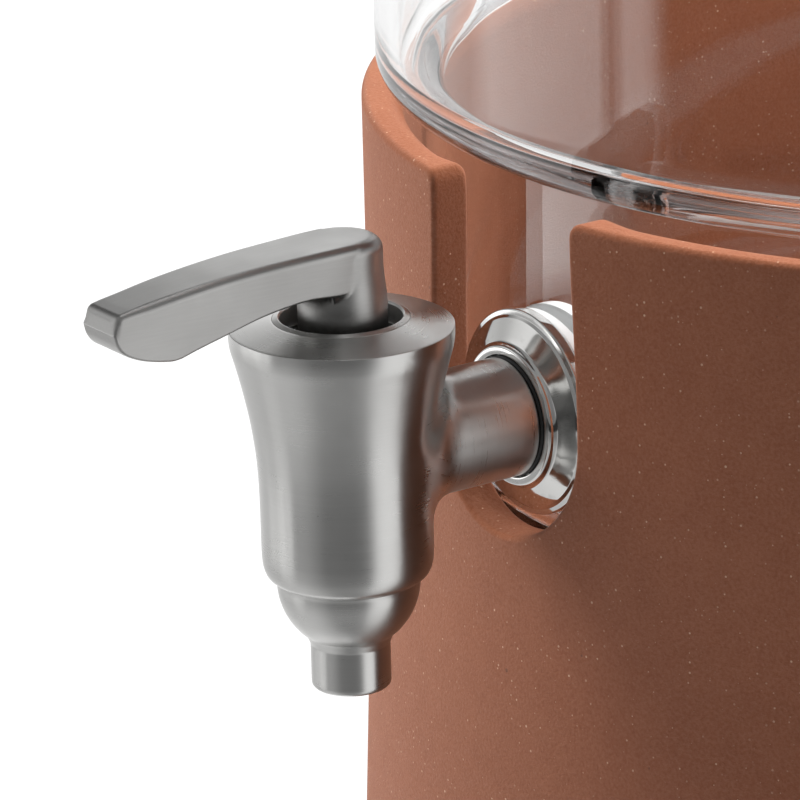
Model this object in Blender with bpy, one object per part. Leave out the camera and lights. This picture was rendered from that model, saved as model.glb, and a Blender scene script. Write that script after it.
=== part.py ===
"""Glass jar with a steel lever tap, standing in a slotted terracotta stand.

Metres, +Z up. The tap points to -Y, and the origin is the middle of the outline's box, on the ground.
The jar's axis is the empty jar_axis. The tap's own axis, upright through its body, is the empty tap_axis,
whose height is the middle of the side tube. The empty tube_line lies along the side tube, so that what is
turned about it has its height measured forward from the jar's axis.
"""
import math

import bmesh
import bpy

# Fits that all pieces share
GAP = 0.0003
OVERRUN = 0.002

# Facets round a turned piece
STAND_FACETS = 40
TAP_FACETS = 28
SMALL_FACETS = 20
RING_SIDES = 6

# Terracotta stand
STAND_HEIGHT = 0.205
STAND_RADIUS = 0.1157
STAND_WALL = 0.0068
FOOT_SPREAD = 0.0057
FOOT_EDGE = 0.002
SKIRT_WALL = 0.008
WAIST_DROP = 0.070
WELL_DEPTH = 0.0685
FLOOR_THICKNESS = 0.010
FLOOR_ROUND = 0.004
SKIRT_ROUND = 0.006

# Slot for the tap
SLOT_HALF_WIDTH = 0.0191
SLOT_CORNER = 0.0025

# Ring that the jar stands on
REST_INSET = 0.004
REST_WIDTH = 0.022
REST_THICKNESS = 0.0015

# Glass jar
JAR_HEIGHT = 0.2164
JAR_INSET = 0.0024
JAR_CLEARANCE = 0.0029
GLASS_WALL = 0.004
SHOULDER_LIFT = 0.001
SHOULDER_ROUND = 0.0075
JAR_CORNER = 0.010
JAR_FLOOR = 0.006
PUNT_INSET = 0.006
PUNT_SLOPE = 0.004
PUNT_HEIGHT = 0.003

# Tap body
TAP_DROP = 0.0369
TAP_TOP_RADIUS = 0.0173
TAP_WAIST_RADIUS = 0.0133
TAP_RIM_HEIGHT = 0.02106
TAP_CROWN_RISE = 0.0013
TAP_FLARE = 0.0278
TAP_LENGTH = 0.04016
TAP_FOOT_ROUND = 0.0015
FLARE_SHARES = ((0, 1), (0.07, 1), (0.18, 0.83), (0.3, 0.61), (0.41, 0.44), (0.53, 0.28), (0.65, 0.15),
                (0.8, 0.05), (1, 0))
TUBE_RADIUS = 0.00945
TUBE_LENGTH = 0.0295
TUBE_FLARE_START = 0.018
TUBE_FLARE_LENGTH = 0.0125
TUBE_FLARE_RISE = 0.003
TUBE_FLARE_SHARES = ((0, 0), (0.18, 0.08), (0.33, 0.28), (0.48, 0.55), (0.68, 0.78), (0.88, 0.95), (1, 1))
TUBE_EDGE = 0.0004
UPPER_BORE = 0.0106
LEDGE_HEIGHT = 0.006
CAVITY_RADIUS = 0.0092
LOWER_BORE = 0.0108
LOWER_BORE_DEPTH = 0.0057
WATERWAY_RADIUS = 0.005
SOCKET_DEPTH = 0.0118

# Lever collar
COLLAR_TOP = 0.02292
COLLAR_HEIGHT = 0.0037
COLLAR_BORE = 0.00942
COLLAR_CHAMFER = 0.0004

# Valve cartridge
CUP_BASE = 0.0052
CUP_WALL = 0.0014
SEAL_WIRE = 0.0008
SEAL_LIFT = 0.0015

# Valve stem
STEM_RADIUS = 0.002
EYE_HALF_WIDTH = 0.00205
EYE_HALF_DEPTH = 0.0022
EYE_WALL = 0.001
EYE_ROOT = 0.0035
SPRING_STOP_RADIUS = 0.0034
SPRING_STOP_THICKNESS = 0.0012
STEM_SPIGOT = 0.0027

# Seat plug
PLUG_RADIUS = 0.0052
PLUG_HEIGHT = 0.0051

# Valve spring
SPRING_RADIUS = 0.0036
SPRING_WIRE = 0.00045
SPRING_CURLS = 7
POINTS_PER_CURL = 8

# Lever
LEVER_REACH = 0.0431
LEVER_TOP = 0.0352
LEVER_DEPTH = 0.0115
LEVER_HALF_WIDTH = 0.0062
LEVER_TOP_ROUND = 0.0018
LEVER_LOW_ROUND = 0.0006
# Each row: the top edge's reach and drop, the low edge's reach and drop, and the half width
LEVER_SHARES = (
    (0.984, 0.33, 1.0, 0.53, 0.645),
    (0.972, 0.322, 0.988, 0.687, 0.653),
    (0.951, 0.309, 0.956, 0.817, 0.661),
    (0.893, 0.278, 0.889, 0.922, 0.685),
    (0.812, 0.235, 0.803, 0.991, 0.726),
    (0.742, 0.2, 0.747, 1.0, 0.758),
    (0.661, 0.165, 0.673, 0.93, 0.782),
    (0.548, 0.122, 0.548, 0.826, 0.806),
    (0.422, 0.087, 0.422, 0.713, 0.855),
    (0.325, 0.065, 0.302, 0.643, 0.887),
    (0.209, 0.043, 0.209, 0.617, 0.935),
    (0.093, 0.012, 0.104, 0.7, 1.0),
    (0, 0.03, 0, 0.74, 0.95),
)
LEG_RADIUS = 0.0069
LEG_TOP_RADIUS = 0.0064
LEG_TAPER_HEIGHT = 0.0085
LEG_TOP_ROUND = 0.0021
LEG_SET_FORWARD = 0.0003
LEG_CLEARANCE = 0.001
PIVOT_RISE = 0.004
PIVOT_FORWARD = 0.004
LEVER_PIN_RADIUS = 0.00125
LEVER_PIN_HALF_LENGTH = 0.0086
LINK_PIN_RADIUS = 0.001
LINK_PIN_HALF_LENGTH = 0.0062
LINK_SWING = 0.00015

# Outlet cap
CAP_RADIUS = 0.0115
DOME_DROP = 0.0009
DOME_RADIUS = 0.0114
NOZZLE_RADIUS = 0.0062
NOZZLE_END = 0.0374
NOZZLE_BORE = 0.0049
NOZZLE_EDGE = 0.0005
SPIGOT_BORE = 0.0076
OUTLET_SEAL_WIRE = 0.0007
SEAT_HOLE = 0.004
SEAT_LIP = 0.0007
SEAT_RISE = 0.0022
SEAT_LENGTH = 0.0045
SEAT_TAPER = 0.002

# Threaded shank through the glass
SHANK_RADIUS = 0.008
SHANK_TAIL = 0.0054
SHANK_CHAMFER = 0.0008
THREAD_PITCH = 0.002
THREAD_DEPTH = 0.0006
THREAD_TURNS = 5
GLASS_HOLE_CLEARANCE = 0.0006

# Flange and its seals
SHANK_SEAL_SHOW = 0.0009
SHANK_SEAL_WIRE = 0.0006
SHANK_SEAL_RADIUS = 0.0093
FLANGE_RADIUS = 0.0165
FLANGE_THICKNESS = 0.0053
FLANGE_HUB_RADIUS = 0.0113
FLANGE_BAND = 0.0020
FLANGE_BAND_EDGE = 0.0005
FLANGE_CONE_RADIUS = 0.0151
FLANGE_CONE_START = 0.0010
HUB_ROUND = 0.0006
OUTER_GASKET_RADIUS = 0.0158
OUTER_GASKET_THICKNESS = 0.0016
INNER_GASKET_RADIUS = 0.016
INNER_GASKET_THICKNESS = 0.0025
WASHER_RADIUS = 0.014
WASHER_THICKNESS = 0.0012
NUT_FLATS = 0.024
NUT_THICKNESS = 0.006

# Lid
LID_OVERHANG = 0.0024
LID_THICKNESS = 0.010
LID_EDGE = 0.0034
LID_SEAL_ROOM = 0.0043
LID_COLLAR_WALL = 0.008
LID_COLLAR_DEPTH = 0.010
LID_SEAL_WALL = 0.0013
LID_SEAL_HEIGHT = 0.008
LID_FIN_COUNT = 1
LID_FIN_HALF_HEIGHT = 0.001
KNOB_RADIUS = 0.014
KNOB_NECK_RADIUS = 0.008
KNOB_HEIGHT = 0.022
KNOB_EDGE = 0.003
KNOB_NECK_HEIGHT = 0.009
SCREW_RADIUS = 0.002
SCREW_HEAD_RADIUS = 0.004
SCREW_HEAD_HEIGHT = 0.0022
SCREW_BITE = 0.009
SCREW_RECESS_SHARE = 0.5

# Places that follow from the sizes
FOOT_RADIUS = STAND_RADIUS + FOOT_SPREAD
WAIST_HEIGHT = STAND_HEIGHT - WAIST_DROP
FLOOR_TOP = STAND_HEIGHT - WELL_DEPTH
JAR_RADIUS = STAND_RADIUS - JAR_INSET
LOWER_RADIUS = STAND_RADIUS - STAND_WALL - JAR_CLEARANCE
LOWER_BORE_RADIUS = LOWER_RADIUS - GLASS_WALL
REST_OUTER_RADIUS = LOWER_RADIUS - JAR_CORNER - REST_INSET
REST_INNER_RADIUS = REST_OUTER_RADIUS - REST_WIDTH
PUNT_RADIUS = REST_INNER_RADIUS - PUNT_SLOPE - PUNT_INSET
FLANGE_BACK = LOWER_RADIUS + GAP + OUTER_GASKET_THICKNESS + GAP
FLANGE_FRONT = FLANGE_BACK + FLANGE_THICKNESS
SOCKET_START = FLANGE_FRONT + SHANK_SEAL_SHOW
TAP_REACH = SOCKET_START + TUBE_LENGTH
TAP_HEIGHT = STAND_HEIGHT - TAP_DROP
AXIS_Y = (TAP_REACH + LEVER_REACH - FOOT_RADIUS) / 2
JAR_BASE = FLOOR_TOP + REST_THICKNESS + 2 * GAP
JAR_TOP = JAR_BASE + JAR_HEIGHT
TAP_FOOT = TAP_RIM_HEIGHT - TAP_LENGTH
COLLAR_BASE = COLLAR_TOP - COLLAR_HEIGHT
COLLAR_RADIUS = UPPER_BORE - GAP
CUP_RADIUS = UPPER_BORE - GAP
CUP_FOOT = LEDGE_HEIGHT + GAP
CUP_FLOOR = CUP_FOOT + CUP_BASE
CUP_TOP = COLLAR_BASE - GAP
LEG_FOOT = CUP_FLOOR + LEG_CLEARANCE
PIVOT_HEIGHT = LEG_FOOT + PIVOT_RISE
SEAL_MAJOR = UPPER_BORE - GAP - SEAL_WIRE
SEAL_HEIGHT = CUP_FOOT + SEAL_LIFT + GAP + SEAL_WIRE
STEM_SEAL_MAJOR = STEM_RADIUS + GAP + SEAL_WIRE
CAP_SHOULDER = TAP_FOOT - GAP
SPIGOT_RADIUS = LOWER_BORE - GAP
SPIGOT_TOP = TAP_FOOT + LOWER_BORE_DEPTH - GAP
WELL_FLOOR = CAP_SHOULDER - DOME_DROP
SEAT_TOP = WELL_FLOOR + SEAT_RISE
OUTLET_SEAL_MAJOR = LOWER_BORE - GAP - OUTLET_SEAL_WIRE
OUTLET_SEAL_HEIGHT = (SPIGOT_TOP + CAP_SHOULDER) / 2
PLUG_FOOT = SEAT_TOP + GAP
PLUG_TOP = PLUG_FOOT + PLUG_HEIGHT
SPRING_STOP_FOOT = PLUG_TOP + GAP
SPRING_STOP_TOP = SPRING_STOP_FOOT + SPRING_STOP_THICKNESS
SHANK_START = SOCKET_START + SOCKET_DEPTH - GAP
SHANK_SEAL_REACH = SOCKET_START - GAP - SHANK_SEAL_WIRE
INNER_GASKET_BACK = LOWER_BORE_RADIUS - GAP - INNER_GASKET_THICKNESS
WASHER_BACK = INNER_GASKET_BACK - GAP - WASHER_THICKNESS
NUT_BACK = WASHER_BACK - GAP - NUT_THICKNESS
SHANK_END = NUT_BACK - SHANK_TAIL
LID_BASE = JAR_TOP + GAP
LID_TOP = LID_BASE + LID_THICKNESS
LID_RADIUS = JAR_RADIUS + LID_OVERHANG
LID_COLLAR_RADIUS = JAR_RADIUS - GLASS_WALL - LID_SEAL_ROOM
LID_SEAL_RADIUS = JAR_RADIUS - GLASS_WALL - GAP


def clear_scene():
    """Remove the objects that a new file starts with."""
    for item in list(bpy.data.objects):
        bpy.data.objects.remove(item, do_unlink=True)


def make_material(name, color, roughness, metallic=0.0):
    """A plain Principled material."""
    material = bpy.data.materials.new(name)
    material.use_nodes = True
    shader = material.node_tree.nodes["Principled BSDF"]
    shader.inputs["Base Color"].default_value = (*color, 1.0)
    shader.inputs["Roughness"].default_value = roughness
    shader.inputs["Metallic"].default_value = metallic
    return material


def make_empty(name, parent, location, rotation=(0, 0, 0)):
    """An empty that carries pieces."""
    empty = bpy.data.objects.new(name, None)
    empty.parent = parent
    empty.location = location
    empty.rotation_euler = rotation
    bpy.context.collection.objects.link(empty)
    return empty


def make_object(name, bm, parent, material=None):
    """Turn a bmesh into an object with its faces out, smooth on its round stretches."""
    bmesh.ops.recalc_face_normals(bm, faces=bm.faces)
    if bm.calc_volume(signed=True) < 0:
        bmesh.ops.reverse_faces(bm, faces=bm.faces)
    mesh = bpy.data.meshes.new(name)
    bm.to_mesh(mesh)
    bm.free()
    mesh.shade_smooth()
    mesh.set_sharp_from_angle(angle=math.radians(35))
    item = bpy.data.objects.new(name, mesh)
    item.parent = parent
    if material:
        mesh.materials.append(material)
    bpy.context.collection.objects.link(item)
    return item


def arc(center, radius, start, end, steps):
    """Points on a circle round center, from start to end degrees, counted from +X toward +Z."""
    points = []
    for step in range(steps + 1):
        angle = math.radians(start + (end - start) * step / steps)
        points.append((center[0] + radius * math.cos(angle), center[1] + radius * math.sin(angle)))
    return points


def turned(name, profile, facets, parent, material=None):
    """A solid turned about Z from (radius, height) points. Ends on the axis close it, or else it is a ring."""
    bm = bmesh.new()
    points = [bm.verts.new((radius, 0, height)) for radius, height in profile]
    lines = [bm.edges.new(pair) for pair in zip(points, points[1:])]
    if profile[0][0] > 0:
        lines.append(bm.edges.new((points[-1], points[0])))
    bmesh.ops.spin(bm, geom=points + lines, cent=(0, 0, 0), axis=(0, 0, 1), angle=math.tau,
                   steps=facets, use_merge=True)
    bmesh.ops.remove_doubles(bm, verts=bm.verts, dist=GAP / facets)
    return make_object(name, bm, parent, material)


def extruded(name, outline, axis, half_length, parent):
    """A prism from a closed outline: its points are the two other coordinates, and it runs along the axis."""
    bm = bmesh.new()
    corners = []
    for first, second in outline:
        place = [first, second]
        place.insert(axis, -half_length)
        corners.append(bm.verts.new(place))
    face = bm.faces.new(corners)
    swept = bmesh.ops.extrude_face_region(bm, geom=[face])
    shift = [0, 0, 0]
    shift[axis] = 2 * half_length
    moved = [item for item in swept["geom"] if isinstance(item, bmesh.types.BMVert)]
    bmesh.ops.translate(bm, verts=moved, vec=shift)
    return make_object(name, bm, parent)


def lofted(name, sections, parent, material):
    """A solid through rings of points, with flat ends."""
    bm = bmesh.new()
    rings = [[bm.verts.new(point) for point in section] for section in sections]
    for near, far in zip(rings, rings[1:]):
        for index, corner in enumerate(near):
            other = (index + 1) % len(near)
            bm.faces.new((corner, near[other], far[other], far[index]))
    bm.faces.new(rings[0])
    bm.faces.new(rings[-1])
    return make_object(name, bm, parent, material)


def block(name, low, high, parent):
    """A box between two corners."""
    bm = bmesh.new()
    bmesh.ops.create_cube(bm, size=1)
    for corner in bm.verts:
        corner.co = [low[i] if corner.co[i] < 0 else high[i] for i in range(3)]
    return make_object(name, bm, parent)


def cross_rod(name, radius, half_length, place, facets, parent, material=None):
    """A rod along X, with its middle at place, which is (forward, height)."""
    bm = bmesh.new()
    bmesh.ops.create_cone(bm, cap_ends=True, segments=facets, radius1=radius, radius2=radius,
                          depth=2 * half_length)
    rod = make_object(name, bm, parent, material)
    rod.rotation_euler = (0, math.radians(90), 0)
    rod.location = (0, -place[0], place[1])
    return rod


def combine(item, tool, operation):
    """Shape a piece with a tool, which stays behind as a hidden wire guide."""
    tool.hide_render = True
    tool.display_type = "WIRE"
    change = item.modifiers.new(tool.name, "BOOLEAN")
    change.operation = operation
    change.solver = "EXACT"
    change.object = tool


def seal_ring(name, major, wire, height, facets, parent, material):
    """A round-section ring about Z."""
    section = arc((major, height), wire, 0, 360, RING_SIDES)[:-1]
    return turned(name, section, facets, parent, material)


def flat_ring(name, inner, outer, low, high, facets, parent, material=None):
    """A washer about Z."""
    return turned(name, [(inner, low), (outer, low), (outer, high), (inner, high)], facets, parent, material)


def make_stand(parent, material):
    """The waisted pot: a straight wall with a round rim, a raised floor and an open skirt, cut by the slot."""
    rim = STAND_WALL / 2
    inner = STAND_RADIUS - STAND_WALL
    under = FLOOR_TOP - FLOOR_THICKNESS
    lean = (FOOT_RADIUS - STAND_RADIUS) / WAIST_HEIGHT
    skirt_top = STAND_RADIUS - SKIRT_WALL + lean * (WAIST_HEIGHT - under)
    skirt_foot = FOOT_RADIUS - SKIRT_WALL
    profile = [(0, FLOOR_TOP)]
    profile += arc((inner - FLOOR_ROUND, FLOOR_TOP + FLOOR_ROUND), FLOOR_ROUND, -90, 0, 3)
    profile += arc((STAND_RADIUS - rim, STAND_HEIGHT - rim), rim, 180, 0, 6)
    profile += [(STAND_RADIUS, WAIST_HEIGHT + FOOT_EDGE), (STAND_RADIUS + lean * FOOT_EDGE, WAIST_HEIGHT - FOOT_EDGE)]
    profile += [(FOOT_RADIUS, FOOT_EDGE), (FOOT_RADIUS - FOOT_EDGE, 0)]
    profile += [(skirt_foot + FOOT_EDGE, 0), (skirt_foot, FOOT_EDGE)]
    profile += [(skirt_top, under - SKIRT_ROUND), (skirt_top - SKIRT_ROUND, under), (0, under)]
    stand = turned("terracotta_stand", profile, STAND_FACETS, parent, material)
    corner = SLOT_HALF_WIDTH + SLOT_CORNER
    left = [(-corner, STAND_HEIGHT + OVERRUN)]
    left += arc((-corner, STAND_HEIGHT - SLOT_CORNER), SLOT_CORNER, 90, 0, 3)
    right = [(-x, z) for x, z in reversed(left)]
    outline = left + arc((0, TAP_HEIGHT), SLOT_HALF_WIDTH, 180, 360, 16) + right
    slot = extruded("slot_cutter", outline, 1, STAND_WALL + OVERRUN, parent)
    slot.location = (0, rim - STAND_RADIUS, 0)
    combine(stand, slot, "DIFFERENCE")


def make_rest_ring(parent, material):
    """The soft ring on the stand's floor."""
    low = FLOOR_TOP + GAP
    flat_ring("jar_rest_ring", REST_INNER_RADIUS, REST_OUTER_RADIUS, low, low + REST_THICKNESS,
              STAND_FACETS, parent, material)


def make_jar(parent, material):
    """The jar: narrow inside the stand, a round shoulder over its rim, and a wide wall up to a round lip."""
    center = (JAR_RADIUS - SHOULDER_ROUND, STAND_HEIGHT + SHOULDER_LIFT + SHOULDER_ROUND)
    lip = GLASS_WALL / 2
    inner_lower = LOWER_RADIUS - GLASS_WALL
    shoulder_inside = SHOULDER_ROUND - GLASS_WALL
    punt = (PUNT_RADIUS, JAR_BASE + PUNT_HEIGHT)
    foot = (PUNT_RADIUS + PUNT_SLOPE, JAR_BASE)
    inner_corner = JAR_CORNER - lip
    floor = JAR_BASE + JAR_FLOOR
    outer = [(0, punt[1]), punt, foot]
    outer += arc((LOWER_RADIUS - JAR_CORNER, JAR_BASE + JAR_CORNER), JAR_CORNER, -90, 0, 3)
    outer += [(LOWER_RADIUS, STAND_HEIGHT)]
    outer += arc(center, SHOULDER_ROUND, -80, 0, 5)
    outer += arc((JAR_RADIUS - lip, JAR_TOP - lip), lip, 0, 180, 3)
    inner = arc(center, shoulder_inside, 0, -90, 3)
    inner += [(inner_lower + lip, center[1] - shoulder_inside), (inner_lower, center[1] - SHOULDER_ROUND)]
    inner += arc((inner_lower - inner_corner, floor + inner_corner), inner_corner, 0, -90, 3)
    inner += [(foot[0], floor), (punt[0], floor + PUNT_HEIGHT), (0, floor + PUNT_HEIGHT)]
    jar = turned("glass_jar", outer + inner, STAND_FACETS, parent, material)
    return jar


def drill_jar(jar, tube_line):
    """The hole for the shank through the jar's front wall."""
    drill = flat_solid("jar_drill", SHANK_RADIUS + GLASS_HOLE_CLEARANCE, LOWER_RADIUS - 2 * GLASS_WALL,
                       LOWER_RADIUS + GLASS_WALL, tube_line)
    combine(jar, drill, "DIFFERENCE")


def flat_solid(name, radius, low, high, parent, facets=TAP_FACETS):
    """A plain turned cylinder, used as a tool."""
    return turned(name, [(0, low), (radius, low), (radius, high), (0, high)], facets, parent)


def make_tap_body(tap_axis, material):
    """The cast body: it flares to a crisp top disc, and the side tube springs from its back."""
    profile = [(0, TAP_FOOT), (TAP_WAIST_RADIUS - TAP_FOOT_ROUND, TAP_FOOT)]
    profile += [(TAP_WAIST_RADIUS - TAP_FOOT_ROUND / 3, TAP_FOOT + TAP_FOOT_ROUND / 3)]
    profile += [(TAP_WAIST_RADIUS, TAP_FOOT + 2 * TAP_FOOT_ROUND)]
    flare = TAP_TOP_RADIUS - TAP_WAIST_RADIUS
    profile += [(TAP_WAIST_RADIUS + flare * wide, TAP_RIM_HEIGHT - TAP_FLARE * down)
                for down, wide in reversed(FLARE_SHARES)]
    profile += [(UPPER_BORE, TAP_RIM_HEIGHT + TAP_CROWN_RISE), (0, TAP_RIM_HEIGHT + TAP_CROWN_RISE)]
    body = turned("tap_body", profile, TAP_FACETS, tap_axis, material)
    back = make_empty("tube_back", tap_axis, (0, 0, 0), (math.radians(-90), 0, 0))
    tube_profile = [(0, TUBE_LENGTH), (TUBE_RADIUS - TUBE_EDGE, TUBE_LENGTH)]
    tube_profile += [(TUBE_RADIUS, TUBE_LENGTH - TUBE_EDGE)]
    tube_profile += [(TUBE_RADIUS + TUBE_FLARE_RISE * wide, TUBE_FLARE_START - TUBE_FLARE_LENGTH * along)
                     for along, wide in TUBE_FLARE_SHARES]
    tube_profile += [(0, TUBE_FLARE_START - TUBE_FLARE_LENGTH)]
    combine(body, turned("side_tube", tube_profile, TAP_FACETS, back), "UNION")
    top = TAP_RIM_HEIGHT + TAP_CROWN_RISE + OVERRUN
    ledge = TAP_FOOT + LOWER_BORE_DEPTH
    bore = [(0, TAP_FOOT - OVERRUN), (LOWER_BORE, TAP_FOOT - OVERRUN), (LOWER_BORE, ledge)]
    bore += [(CAVITY_RADIUS, ledge), (CAVITY_RADIUS, LEDGE_HEIGHT), (UPPER_BORE, LEDGE_HEIGHT)]
    bore += [(UPPER_BORE, top), (0, top)]
    combine(body, turned("body_bore", bore, TAP_FACETS, tap_axis), "DIFFERENCE")
    socket = TUBE_LENGTH - SOCKET_DEPTH
    end = TUBE_LENGTH + OVERRUN
    way = [(0, 0), (WATERWAY_RADIUS, 0), (WATERWAY_RADIUS, socket), (SHANK_RADIUS + GAP, socket)]
    way += [(SHANK_RADIUS + GAP, end), (0, end)]
    combine(body, turned("waterway", way, SMALL_FACETS, back), "DIFFERENCE")


def make_collar(tap_axis, material):
    """The bevelled ring in the top of the body, round the lever's leg."""
    face = TAP_RIM_HEIGHT + TAP_CROWN_RISE
    profile = [(COLLAR_BORE, COLLAR_BASE), (COLLAR_RADIUS, COLLAR_BASE), (COLLAR_RADIUS, face)]
    profile += [(COLLAR_BORE + COLLAR_CHAMFER, COLLAR_TOP), (COLLAR_BORE, COLLAR_TOP - COLLAR_CHAMFER)]
    turned("lever_collar", profile, TAP_FACETS, tap_axis, material)


def make_cartridge(tap_axis, material, rubber):
    """The cup under the collar, with the lever pin's holes, the stem's bore and its two seals."""
    half = SEAL_WIRE + GAP
    low = SEAL_HEIGHT - half
    high = SEAL_HEIGHT + half
    inner = CUP_RADIUS - CUP_WALL
    stem_bore = STEM_RADIUS + GAP
    stem_groove = STEM_SEAL_MAJOR + half
    outer_groove = SEAL_MAJOR - half
    profile = [(stem_bore, CUP_FOOT), (CUP_RADIUS, CUP_FOOT), (CUP_RADIUS, low), (outer_groove, low)]
    profile += [(outer_groove, high), (CUP_RADIUS, high), (CUP_RADIUS, CUP_TOP), (inner, CUP_TOP)]
    profile += [(inner, CUP_FLOOR), (stem_bore, CUP_FLOOR), (stem_bore, high), (stem_groove, high)]
    profile += [(stem_groove, low), (stem_bore, low)]
    cup = turned("valve_cartridge", profile, TAP_FACETS, tap_axis, material)
    hole = cross_rod("cup_pin_hole", LEVER_PIN_RADIUS + GAP, CUP_RADIUS + OVERRUN,
                     (PIVOT_FORWARD, PIVOT_HEIGHT), 12, tap_axis)
    combine(cup, hole, "DIFFERENCE")
    seal_ring("cartridge_ring", SEAL_MAJOR, SEAL_WIRE, SEAL_HEIGHT, SMALL_FACETS, tap_axis, rubber)
    seal_ring("stem_ring", STEM_SEAL_MAJOR, SEAL_WIRE, SEAL_HEIGHT, 16, tap_axis, rubber)


def lever_section(row):
    """A ring of points round the lever's bar, with round top edges and softened low edges."""
    top_reach, top_drop, low_reach, low_drop, width = row
    top = (-LEVER_REACH * top_reach, LEVER_TOP - LEVER_DEPTH * top_drop)
    low = (-LEVER_REACH * low_reach, LEVER_TOP - LEVER_DEPTH * low_drop)
    tall = math.dist(top, low)
    half = LEVER_HALF_WIDTH * width
    top_round = min(LEVER_TOP_ROUND, tall / 2)
    low_round = min(LEVER_LOW_ROUND, tall / 4)
    right = arc((half - low_round, low_round), low_round, -90, 0, 1)
    right += arc((half - top_round, tall - top_round), top_round, 0, 90, 3)
    left = [(-x, rise) for x, rise in reversed(right)]
    along = ((top[0] - low[0]) / tall, (top[1] - low[1]) / tall)
    return [(x, low[0] + along[0] * rise, low[1] + along[1] * rise) for x, rise in right + left]


def make_lever(tap_axis, material):
    """The lever: a tapered bar on a round leg, whose foot is a fork for the stem's eye."""
    pivot = make_empty("lever_pivot", tap_axis, (0, -PIVOT_FORWARD, PIVOT_HEIGHT))
    base = make_empty("lever_base", pivot, (0, PIVOT_FORWARD, -PIVOT_HEIGHT))
    lever = lofted("lever", [lever_section(row) for row in LEVER_SHARES], base, material)
    top_center = (LEG_TOP_RADIUS - LEG_TOP_ROUND, LEVER_TOP - LEG_TOP_ROUND)
    profile = [(0, LEG_FOOT), (LEG_RADIUS, LEG_FOOT), (LEG_RADIUS, LEVER_TOP - LEG_TAPER_HEIGHT)]
    profile += arc(top_center, LEG_TOP_ROUND, 0, 90, 3)
    profile += [(0, LEVER_TOP)]
    leg = turned("lever_leg", profile, 32, base)
    leg.location = (0, -LEG_SET_FORWARD, 0)
    combine(lever, leg, "UNION")
    eye_top = PIVOT_HEIGHT + LINK_PIN_RADIUS + GAP + EYE_WALL
    fork_top = eye_top + LEG_CLEARANCE + LEVER_PIN_RADIUS * PIVOT_FORWARD / LEG_RADIUS
    fork = block("fork_cutter", (-EYE_HALF_WIDTH - GAP, -LEG_RADIUS - OVERRUN, LEG_FOOT - OVERRUN),
                 (EYE_HALF_WIDTH + GAP, LEG_RADIUS + OVERRUN, fork_top), base)
    combine(lever, fork, "DIFFERENCE")
    for name, radius, forward in (("lever_pin_hole", LEVER_PIN_RADIUS, PIVOT_FORWARD),
                                  ("link_pin_hole", LINK_PIN_RADIUS, 0)):
        hole = cross_rod(name, radius + GAP, LEG_RADIUS + OVERRUN, (forward, PIVOT_HEIGHT), 12, base)
        combine(lever, hole, "DIFFERENCE")
    cross_rod("link_pin", LINK_PIN_RADIUS, LINK_PIN_HALF_LENGTH, (0, PIVOT_HEIGHT), 12, base, material)


def make_lever_pin(tap_axis, material):
    """The fixed pin across the cartridge that the lever tilts on."""
    cross_rod("lever_pin", LEVER_PIN_RADIUS, LEVER_PIN_HALF_LENGTH, (PIVOT_FORWARD, PIVOT_HEIGHT), 12,
              tap_axis, material)


def make_stem(tap_axis, material):
    """The stem: an eye on the link pin, a rod, the spring's stop and a spigot in the plug."""
    eye_low = PIVOT_HEIGHT - EYE_ROOT
    eye_top = PIVOT_HEIGHT + LINK_PIN_RADIUS + GAP + EYE_WALL
    root = eye_low + EYE_WALL
    profile = [(0, SPRING_STOP_FOOT - STEM_SPIGOT), (STEM_RADIUS, SPRING_STOP_FOOT - STEM_SPIGOT)]
    profile += [(STEM_RADIUS, SPRING_STOP_FOOT), (SPRING_STOP_RADIUS, SPRING_STOP_FOOT)]
    profile += [(SPRING_STOP_RADIUS, SPRING_STOP_TOP), (STEM_RADIUS, SPRING_STOP_TOP)]
    profile += [(STEM_RADIUS, root), (0, root)]
    stem = turned("valve_stem", profile, 16, tap_axis, material)
    eye = block("stem_eye", (-EYE_HALF_WIDTH, -EYE_HALF_DEPTH, eye_low),
                (EYE_HALF_WIDTH, EYE_HALF_DEPTH, eye_top), tap_axis)
    combine(stem, eye, "UNION")
    play = LINK_PIN_RADIUS + GAP
    hole = block("stem_eye_hole", (-SPRING_STOP_RADIUS, -play - LINK_SWING, PIVOT_HEIGHT - play),
                 (SPRING_STOP_RADIUS, play + LINK_SWING, PIVOT_HEIGHT + play), tap_axis)
    combine(stem, hole, "DIFFERENCE")


def make_plug(tap_axis, material):
    """The soft plug that closes the seat."""
    hole_floor = SPRING_STOP_FOOT - STEM_SPIGOT - GAP
    profile = [(0, PLUG_FOOT), (PLUG_RADIUS, PLUG_FOOT), (PLUG_RADIUS, PLUG_TOP)]
    profile += [(STEM_RADIUS + GAP, PLUG_TOP), (STEM_RADIUS + GAP, hole_floor), (0, hole_floor)]
    turned("seat_plug", profile, SMALL_FACETS, tap_axis, material)


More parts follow.
